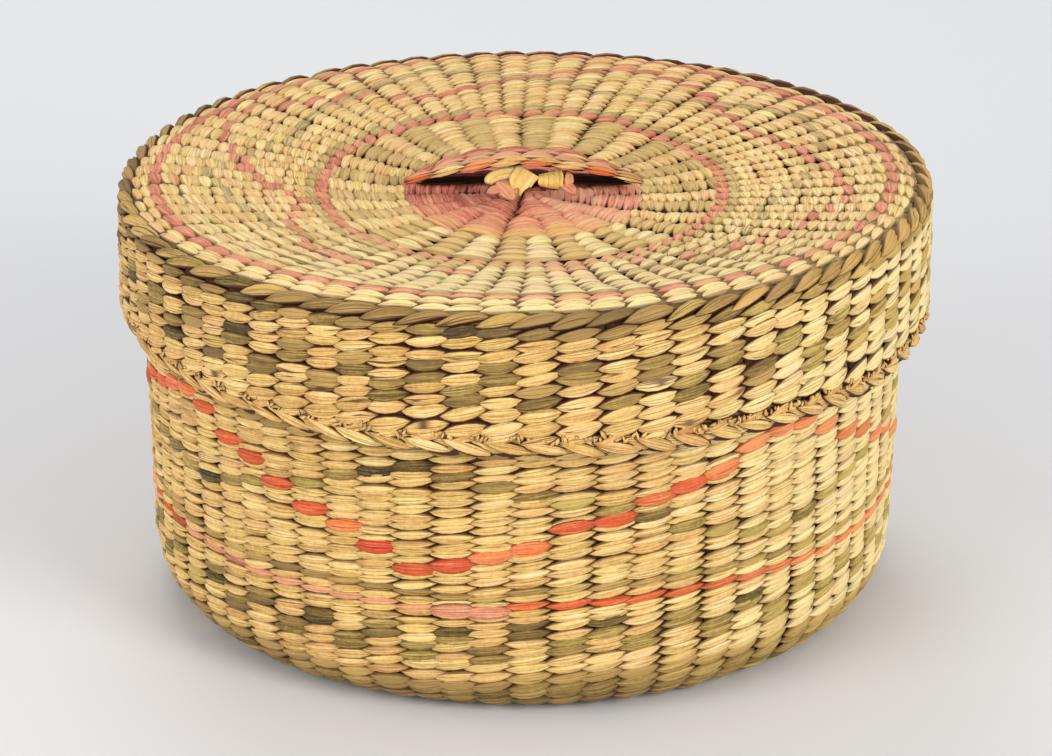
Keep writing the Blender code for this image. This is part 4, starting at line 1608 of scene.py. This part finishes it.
class BASKET_OT_stage(bpy.types.Operator):
    """Set up the floor, the soft lamps and the camera"""

    bl_idname = "basket.stage"
    bl_label = "Stage"

    def execute(self, context):
        self.lay_floor()
        self.light_room(context.scene)
        self.set_camera(context.scene)
        return {"FINISHED"}

    def lay_floor(self):
        """Lays a wide matte floor just under the basket."""
        deselect()
        bpy.ops.mesh.primitive_plane_add(size=FLOOR_SIZE, location=(0.0, 0.0, FLOOR_HEIGHT))
        floor = bpy.context.object
        floor.name = "floor"
        material = bpy.data.materials.new("matte paper floor")
        material.use_nodes = True
        tree = material.node_tree
        tree.nodes.clear()
        grain = add_node(tree, "ShaderNodeTexNoise", {"Scale": 40.0, "Detail": 4.0})
        bump = add_node(tree, "ShaderNodeBump", {"Height": grain.outputs["Fac"], "Strength": 0.02})
        shader = add_node(
            tree, "ShaderNodeBsdfPrincipled",
            {"Base Color": dyes().floor, "Roughness": 0.9, "Normal": bump.outputs["Normal"]},
        )
        add_node(tree, "ShaderNodeOutputMaterial", {"Surface": shader.outputs["BSDF"]})
        floor.data.materials.append(material)

    def light_room(self, scene):
        """Sets up the soft lamps in a pale room."""
        for name, place, size, power, colour in LAMPS:
            data = bpy.data.lights.new(name, "AREA")
            data.shape = "DISK"
            data.size = size
            data.energy = power
            data.color = linear(colour)[:3]
            self.aimed(scene, name, data, place)
        world = bpy.data.worlds.new("studio room")
        world.use_nodes = True
        background = world.node_tree.nodes["Background"].inputs
        background["Color"].default_value = linear(ROOM_COLOUR)
        background["Strength"].default_value = ROOM_LIGHT
        scene.world = world

    def set_camera(self, scene):
        """Sets the camera where the photo was taken from."""
        camera = bpy.data.cameras.new("camera")
        camera.sensor_width = SENSOR_WIDTH
        camera.lens = SENSOR_WIDTH * FOCAL_PIXELS / IMAGE_WIDTH
        camera.clip_start = 0.05
        camera.clip_end = 20.0
        back = Vector((0.0, -math.cos(CAMERA_ELEVATION), math.sin(CAMERA_ELEVATION)))
        scene.camera = self.aimed(scene, "camera", camera, CAMERA_TARGET + back * CAMERA_DISTANCE)
        scene.view_settings.view_transform = "Standard"

    @staticmethod
    def aimed(scene, name, data, place):
        """Links a lamp or a camera so that it looks at the camera's target."""
        obj = bpy.data.objects.new(name, data)
        obj.location = place
        obj.rotation_mode = "QUATERNION"
        obj.rotation_quaternion = (CAMERA_TARGET - Vector(place)).to_track_quat("-Z", "Y")
        scene.collection.objects.link(obj)
        return obj


OPERATORS = (
    BASKET_OT_patterns, BASKET_OT_wall, BASKET_OT_base, BASKET_OT_body_rim, BASKET_OT_body_inside,
    BASKET_OT_lid_top, BASKET_OT_painted_shadow, BASKET_OT_lid_knot, BASKET_OT_crown, BASKET_OT_skirt,
    BASKET_OT_skirt_rim, BASKET_OT_lid_inside, BASKET_OT_strap, BASKET_OT_stage,
)


class BASKET_PT_panel(bpy.types.Panel):
    """Lists the pieces of the basket"""

    bl_idname = "BASKET_PT_panel"
    bl_label = "Basket"
    bl_space_type = "VIEW_3D"
    bl_region_type = "UI"
    bl_category = "Basket"

    def draw(self, context):
        for group in (context.scene.basket_weave, context.scene.basket_dyes):
            for name in group.bl_rna.properties.keys():
                if name not in ("rna_type", "name"):
                    self.layout.prop(group, name)
        for operator in OPERATORS:
            self.layout.operator(operator.bl_idname)


CLASSES = (BasketWeave, BasketDyes, *OPERATORS, BASKET_PT_panel)


def register():
    for cls in CLASSES:
        bpy.utils.register_class(cls)
    bpy.types.Scene.basket_weave = bpy.props.PointerProperty(type=BasketWeave)
    bpy.types.Scene.basket_dyes = bpy.props.PointerProperty(type=BasketDyes)


def unregister():
    del bpy.types.Scene.basket_dyes
    del bpy.types.Scene.basket_weave
    for cls in reversed(CLASSES):
        bpy.utils.unregister_class(cls)


def main():
    register()
    for operator in OPERATORS:
        getattr(bpy.ops.basket, operator.bl_idname.split(".")[1])()


if __name__ == "__main__":
    main()
